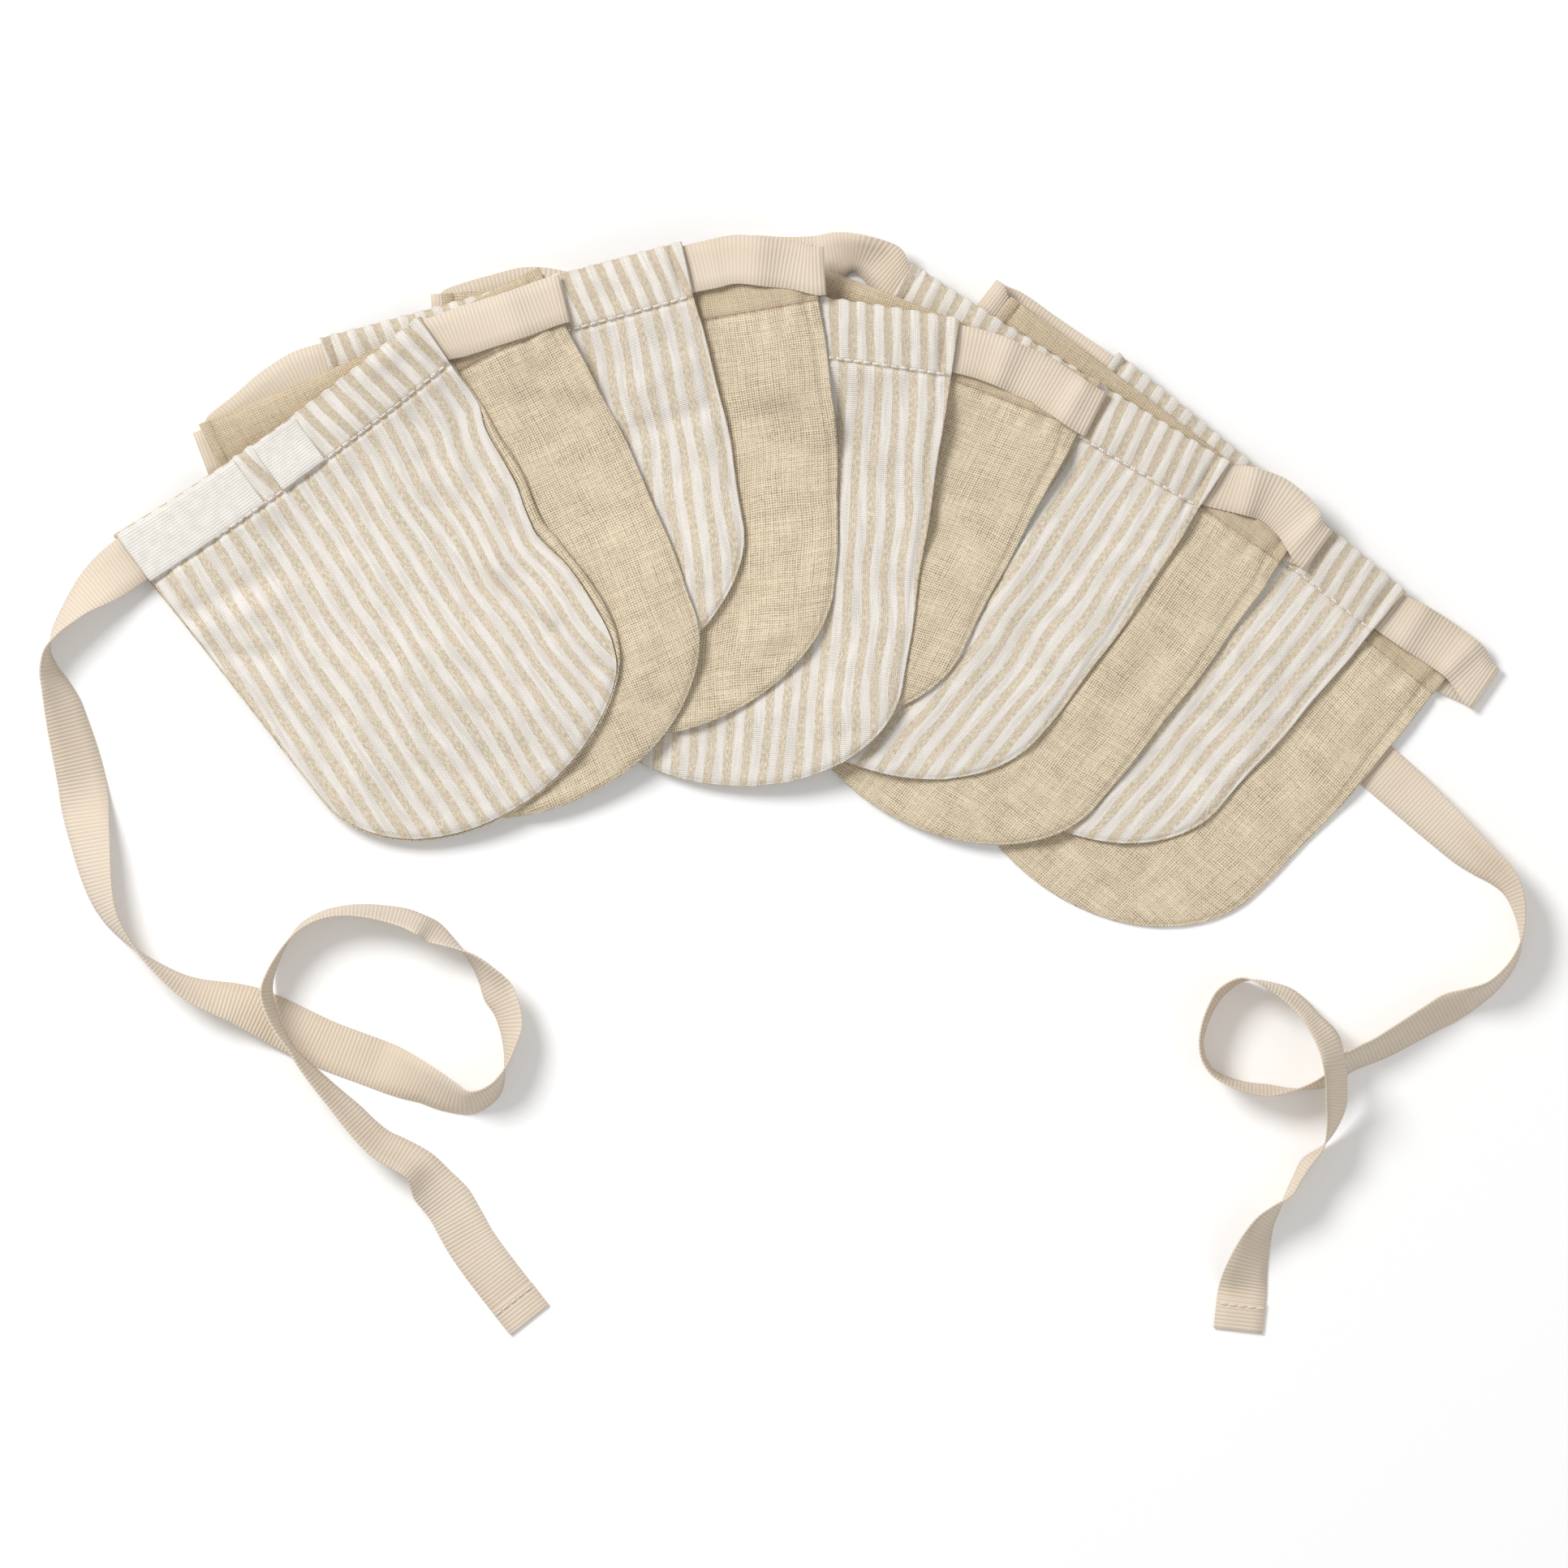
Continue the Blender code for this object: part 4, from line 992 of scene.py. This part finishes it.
class Nodes:
    """Short calls for building a material's nodes."""

    def __init__(self, name):
        self.material = bpy.data.materials.new(name)
        self.material.use_nodes = True
        self.tree = self.material.node_tree
        self.shader = self.tree.nodes["Principled BSDF"]

    def fill(self, node, inputs):
        """Numbers set on a node's sockets, and sockets of other nodes linked to them, by name."""
        for key, value in inputs.items():
            self.give(node.inputs[key.replace("_", " ")], value)

    def add(self, kind, **inputs):
        made = self.tree.nodes.new(kind)
        self.fill(made, inputs)
        return made

    def give(self, socket, value):
        if isinstance(value, bpy.types.NodeSocket):
            self.tree.links.new(value, socket)
        else:
            socket.default_value = value

    def math(self, operation, *values):
        made = self.tree.nodes.new("ShaderNodeMath")
        made.operation = operation
        for socket, value in zip(made.inputs, values):
            self.give(socket, value)
        return made.outputs[0]

    def times(self, *values):
        return self.math("MULTIPLY", *values)

    def plus(self, *values):
        return self.math("ADD", *values)

    def turns(self, place, pitch):
        """An angle that goes round once for each pitch."""
        return self.times(place, TAU / pitch)

    def mark(self, name):
        """A number that the mesh carries at each point."""
        made = self.add("ShaderNodeAttribute")
        made.attribute_name = name
        return made.outputs["Fac"]

    def swing(self, size, *noise):
        """Noise about zero, at most half of size either way."""
        return self.times(self.math("SUBTRACT", self.noise(*noise), 0.5), size)

    def mix(self, share, first, second):
        """A colour between two."""
        made = self.tree.nodes.new("ShaderNodeMix")
        made.data_type = "RGBA"
        self.give(made.inputs[0], share)
        self.give(made.inputs[6], (*first, 1.0) if isinstance(first, tuple) else first)
        self.give(made.inputs[7], (*second, 1.0) if isinstance(second, tuple) else second)
        return made.outputs[2]

    def remap(self, value, low, high, to_low=0.0, to_high=1.0):
        """A smooth step from one range to another."""
        made = self.tree.nodes.new("ShaderNodeMapRange")
        made.interpolation_type = "SMOOTHSTEP"
        for socket, number in zip(made.inputs, (value, low, high, to_low, to_high)):
            self.give(socket, number)
        return made.outputs[0]

    def flat(self):
        """Place in the flat cloth: across and down, in metres."""
        parts = self.add("ShaderNodeSeparateXYZ", Vector=self.add("ShaderNodeUVMap").outputs[0])
        return parts.outputs[0], parts.outputs[1]

    def noise(self, x, y, scale_x, scale_y, detail=2.0):
        """Noise over the cloth whose blots are 1 / scale metres in each direction."""
        place = self.add("ShaderNodeCombineXYZ", X=self.times(x, scale_x), Y=self.times(y, scale_y))
        return self.add("ShaderNodeTexNoise", Vector=place.outputs[0], Scale=1.0, Detail=detail).outputs[0]

    def bump(self, height, strength, distance):
        made = self.add("ShaderNodeBump", Height=height, Strength=strength, Distance=distance)
        self.tree.links.new(made.outputs[0], self.shader.inputs["Normal"])

    def finish(self, color, roughness, **others):
        self.fill(self.shader, dict(Base_Color=color, Roughness=roughness, **others))
        return self.material

    def finish_cloth(self, color, roughness, sheen):
        return self.finish(color, roughness, Sheen_Weight=sheen, Sheen_Roughness=0.6, Specular_IOR_Level=0.2)


def weave(nodes, x, y, pitch):
    """Relief of a plain weave, the holes between its threads, and where a thread lies on top.

    The threads wander together over the cloth, and each a little by itself.
    """
    drift_x = nodes.times(nodes.noise(x, y, 130, 130), THREAD_DRIFT)
    drift_y = nodes.times(nodes.noise(y, x, 110, 150), THREAD_DRIFT)
    alone_x = nodes.times(nodes.noise(x, y, 0.45 / pitch[0], 75), THREAD_STRAY)
    alone_y = nodes.times(nodes.noise(x, y, 75, 0.45 / pitch[1]), THREAD_STRAY)
    turn_x = nodes.plus(nodes.turns(x, pitch[0]), nodes.plus(drift_x, alone_x))
    turn_y = nodes.plus(nodes.turns(y, pitch[1]), nodes.plus(drift_y, alone_y))
    holes = nodes.times(nodes.plus(nodes.math("COSINE", turn_x), nodes.math("COSINE", turn_y)), 0.5)
    half_x = nodes.math("SINE", nodes.times(turn_x, 0.5))
    half_y = nodes.math("SINE", nodes.times(turn_y, 0.5))
    over = nodes.times(half_x, half_y)
    relief = nodes.math("SUBTRACT", nodes.times(over, 0.25), nodes.times(holes, 0.6))
    return relief, holes, over


def plain_muslin():
    """Natural muslin of uneven threads, open enough for pinholes, which show most between thin threads."""
    nodes = Nodes("plain_cloth")
    x, y = nodes.flat()
    relief, holes, over = weave(nodes, x, y, PLAIN_PITCH)
    threads = nodes.plus(nodes.noise(x, y, 1250, 60), nodes.noise(x, y, 60, 1250))
    open_share = nodes.noise(x, y, 90, 90, 4.0)
    limit = nodes.plus(nodes.remap(open_share, 0.3, 0.68, 0.5, 0.08), nodes.swing(1.6, x, y, 850, 850))
    limit = nodes.plus(limit, nodes.times(nodes.math("SUBTRACT", threads, 1.0), 0.5))
    dark = nodes.remap(holes, limit, nodes.plus(limit, 0.45))
    color = nodes.mix(nodes.remap(threads, 0.5, 1.5), PLAIN_DEEP, PLAIN_PALE)
    # Painted highlight on the threads that lie on top
    color = nodes.mix(nodes.remap(over, 0.0, 1.0, 0.0, 0.35), color, PLAIN_OVER_HIGHLIGHT)
    color = nodes.mix(nodes.times(dark, 0.9), color, PLAIN_HOLE)
    # Painted shade: the channel is darkened for the ribbon's shadow and for the double cloth, which lets less
    # light through
    color = nodes.mix(nodes.times(nodes.mark("channel"), 0.4), color, PLAIN_CHANNEL_SHADE)
    nodes.bump(relief, 0.6, 0.00016)
    return nodes.finish_cloth(color, 0.92, 0.1)


def striped_muslin():
    """Muslin woven in white and sand stripes. Streaks of the white ones are so open that their rungs show."""
    nodes = Nodes("striped_cloth")
    x, y = nodes.flat()
    ragged = nodes.swing(0.9, x, y, 1700, 1500, 2.0)
    wider = nodes.swing(1.5, x, y, 330, 50)
    phase = nodes.plus(nodes.turns(x, STRIPE_PERIOD * MM), ragged)
    white = nodes.remap(nodes.plus(nodes.math("COSINE", phase), wider), -0.32, 0.26)
    relief, holes, _ = weave(nodes, x, y, STRIPED_PITCH)
    ladder_drift = nodes.times(nodes.noise(y, x, 60, 160), 7.0)
    ladder = nodes.math("SINE", nodes.plus(nodes.turns(y, STRIPED_PITCH[1]), ladder_drift))
    open_share = nodes.noise(x, y, 85, 85, 4.0)
    limit = nodes.plus(nodes.remap(open_share, 0.32, 0.68, 0.6, 0.05), nodes.swing(1.5, x, y, 900, 900))
    dark = nodes.remap(holes, limit, nodes.plus(limit, 0.5))
    fleck = nodes.noise(x, y, 1700, 650, 3.0)
    slub = nodes.noise(x, y, 420, 50)
    streak = nodes.noise(x, y, 560, 65, 3.0)
    sand = nodes.mix(nodes.remap(fleck, 0.28, 0.72), SAND_DEEP, SAND_PALE)
    sand = nodes.mix(nodes.remap(slub, 0.35, 0.75, 0.0, 0.35), sand, SAND_WARM)
    channel = nodes.mark("channel")
    # Painted shade: the sand stripes are darkened on the channel
    sand = nodes.mix(nodes.times(channel, 0.25), sand, SAND_CHANNEL_SHADE)
    rungs = nodes.times(nodes.remap(ladder, -0.9, 0.3, 1.0, 0.0), nodes.remap(streak, 0.4, 0.64))
    white_cloth = nodes.mix(rungs, WHITE_PALE, WHITE_DEEP)
    white_cloth = nodes.mix(nodes.remap(fleck, 0.3, 0.6, 0.3, 0.0), white_cloth, SAND_PALE)
    holes_here = nodes.times(dark, nodes.remap(white, 0.0, 1.0, 0.7, 0.3))
    color = nodes.mix(white, sand, white_cloth)
    # Painted shade: all the cloth, white stripes too, is darkened a little on the channel
    color = nodes.mix(nodes.times(channel, 0.06), color, SAND_CHANNEL_SHADE)
    color = nodes.mix(holes_here, color, STRIPED_HOLE)
    ribbed = nodes.times(nodes.times(ladder, white), 0.3)
    nodes.bump(nodes.plus(ribbed, relief), 0.6, 0.00015)
    return nodes.finish_cloth(color, 0.9, 0.1)


def grosgrain():
    """Ribbed ribbon."""
    nodes = Nodes("ribbon_cloth")
    x, y = nodes.flat()
    drift = nodes.times(nodes.noise(x, y, 60, 90), 1.6)
    rib = nodes.math("SINE", nodes.plus(nodes.turns(y, RIB_PITCH * MM), drift))
    yarn = nodes.math("SINE", nodes.turns(x, RIBBON_YARN))
    tone = nodes.noise(x, y, 40, 25)
    color = nodes.mix(nodes.remap(tone, 0.3, 0.7), RIBBON_DEEP, RIBBON_PALE)
    # Painted shade in the gaps between the ribs
    color = nodes.mix(nodes.remap(rib, -1.0, 0.1, 0.32, 0.0), color, RIBBON_GAP_SHADE)
    nodes.bump(nodes.plus(rib, nodes.times(yarn, 0.12)), 0.5, 0.00018)
    return nodes.finish_cloth(color, 0.7, 0.15)


def label_tape():
    """Off-white tape with fine ribs of dots along it."""
    nodes = Nodes("label_cloth")
    x, y = nodes.flat()
    row = nodes.math("COSINE", nodes.turns(y, LABEL_PITCH[1]))
    dot = nodes.math("COSINE", nodes.turns(x, LABEL_PITCH[0]))
    dots = nodes.times(nodes.remap(row, 0.0, 0.8), nodes.remap(dot, -0.3, 0.7))
    tone = nodes.noise(x, y, 300, 300)
    color = nodes.mix(nodes.remap(tone, 0.3, 0.7), LABEL_DEEP, LABEL_PALE)
    color = nodes.mix(nodes.times(dots, 0.6), color, LABEL_DOT)
    nodes.bump(nodes.math("SUBTRACT", 1.0, dots), 0.6, 0.00018)
    return nodes.finish_cloth(color, 0.85, 0.1)


def sewing_thread(name, pale, deep):
    """Twisted thread."""
    nodes = Nodes(name)
    x, y = nodes.flat()
    twist = nodes.math("SINE", nodes.plus(nodes.turns(x, MM), nodes.turns(y, 0.8 * MM)))
    color = nodes.mix(nodes.remap(twist, -1.0, 0.3), deep, pale)
    nodes.bump(twist, 0.5, 0.00008)
    return nodes.finish_cloth(color, 0.6, 0.2)


def white_floor():
    return Nodes("floor_white").finish((0.95, 0.95, 0.95, 1.0), 0.9, Emission_Color=(1.0, 1.0, 1.0, 1.0),
                                       Emission_Strength=0.04, Specular_IOR_Level=0.1)


# -------- stage, camera and light

VIEW_CENTRE = (0.0006, -0.0003)
VIEW_WIDE = 0.525
CAMERA_HIGH = 8.0
SENSOR = 36.0
FLOOR_HALF = 3.0
FLOOR_BELOW = 0.00002
LAMPS = (
    # name, place, size, power
    ("key", (-1.47, 1.33, 2.24), 1.15, 64.0),
    ("fill", (1.2, -0.6, 1.9), 1.6, 6.0),
)
SURROUNDINGS = 0.47


def floor():
    half = FLOOR_HALF
    mesh = bpy.data.meshes.new("floor")
    corners = [(-half, -half, 0), (half, -half, 0), (half, half, 0), (-half, half, 0)]
    mesh.from_pydata(corners, [], [(0, 1, 2, 3)])
    mesh.materials.append(white_floor())
    obj = placed("floor", mesh)
    obj.location.z = -FLOOR_BELOW


def camera():
    """Straight above the middle, as far away as a long lens, so that the heap keeps its shape in the view."""
    data = bpy.data.cameras.new("view")
    data.sensor_width = SENSOR
    data.lens = SENSOR * CAMERA_HIGH / VIEW_WIDE
    data.clip_end = 20.0
    obj = placed("view", data)
    obj.location = (*VIEW_CENTRE, CAMERA_HIGH)
    bpy.context.scene.camera = obj


def lamp(name, place, size, power):
    data = bpy.data.lights.new(name, "AREA")
    data.shape = "DISK"
    data.size = size
    data.energy = power
    obj = placed(name, data)
    obj.location = place
    obj.rotation_euler = (-Vector(place)).to_track_quat("-Z", "Y").to_euler()


def light():
    """A large soft lamp at the upper left, a weaker one across from it, and pale surroundings."""
    for name, place, size, power in LAMPS:
        lamp(name, place, size, power)
    world = bpy.data.worlds.new("surroundings")
    world.use_nodes = True
    world.node_tree.nodes["Background"].inputs[0].default_value = (1.0, 1.0, 1.0, 1.0)
    world.node_tree.nodes["Background"].inputs[1].default_value = SURROUNDINGS
    bpy.context.scene.world = world
    bpy.context.scene.view_settings.view_transform = "Standard"


def clear_startup():
    for obj in list(bpy.data.objects):
        bpy.data.objects.remove(obj)


clear_startup()
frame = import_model()
camera()
cloth = {
    "plain": plain_muslin(),
    "striped": striped_muslin(),
    "ribbon": grosgrain(),
    "label": label_tape(),
    "thread_striped": sewing_thread("pale_thread", THREAD_PALE, THREAD_SHADE),
    "thread_plain": sewing_thread("warm_thread", THREAD_WARM, THREAD_WARM_SHADE),
}
ribbon(frame, cloth)
pennants(frame, cloth)
for label_name, label_start, label_end in LABELS:
    label(frame, label_name, label_start, label_end, cloth)
floor()
light()
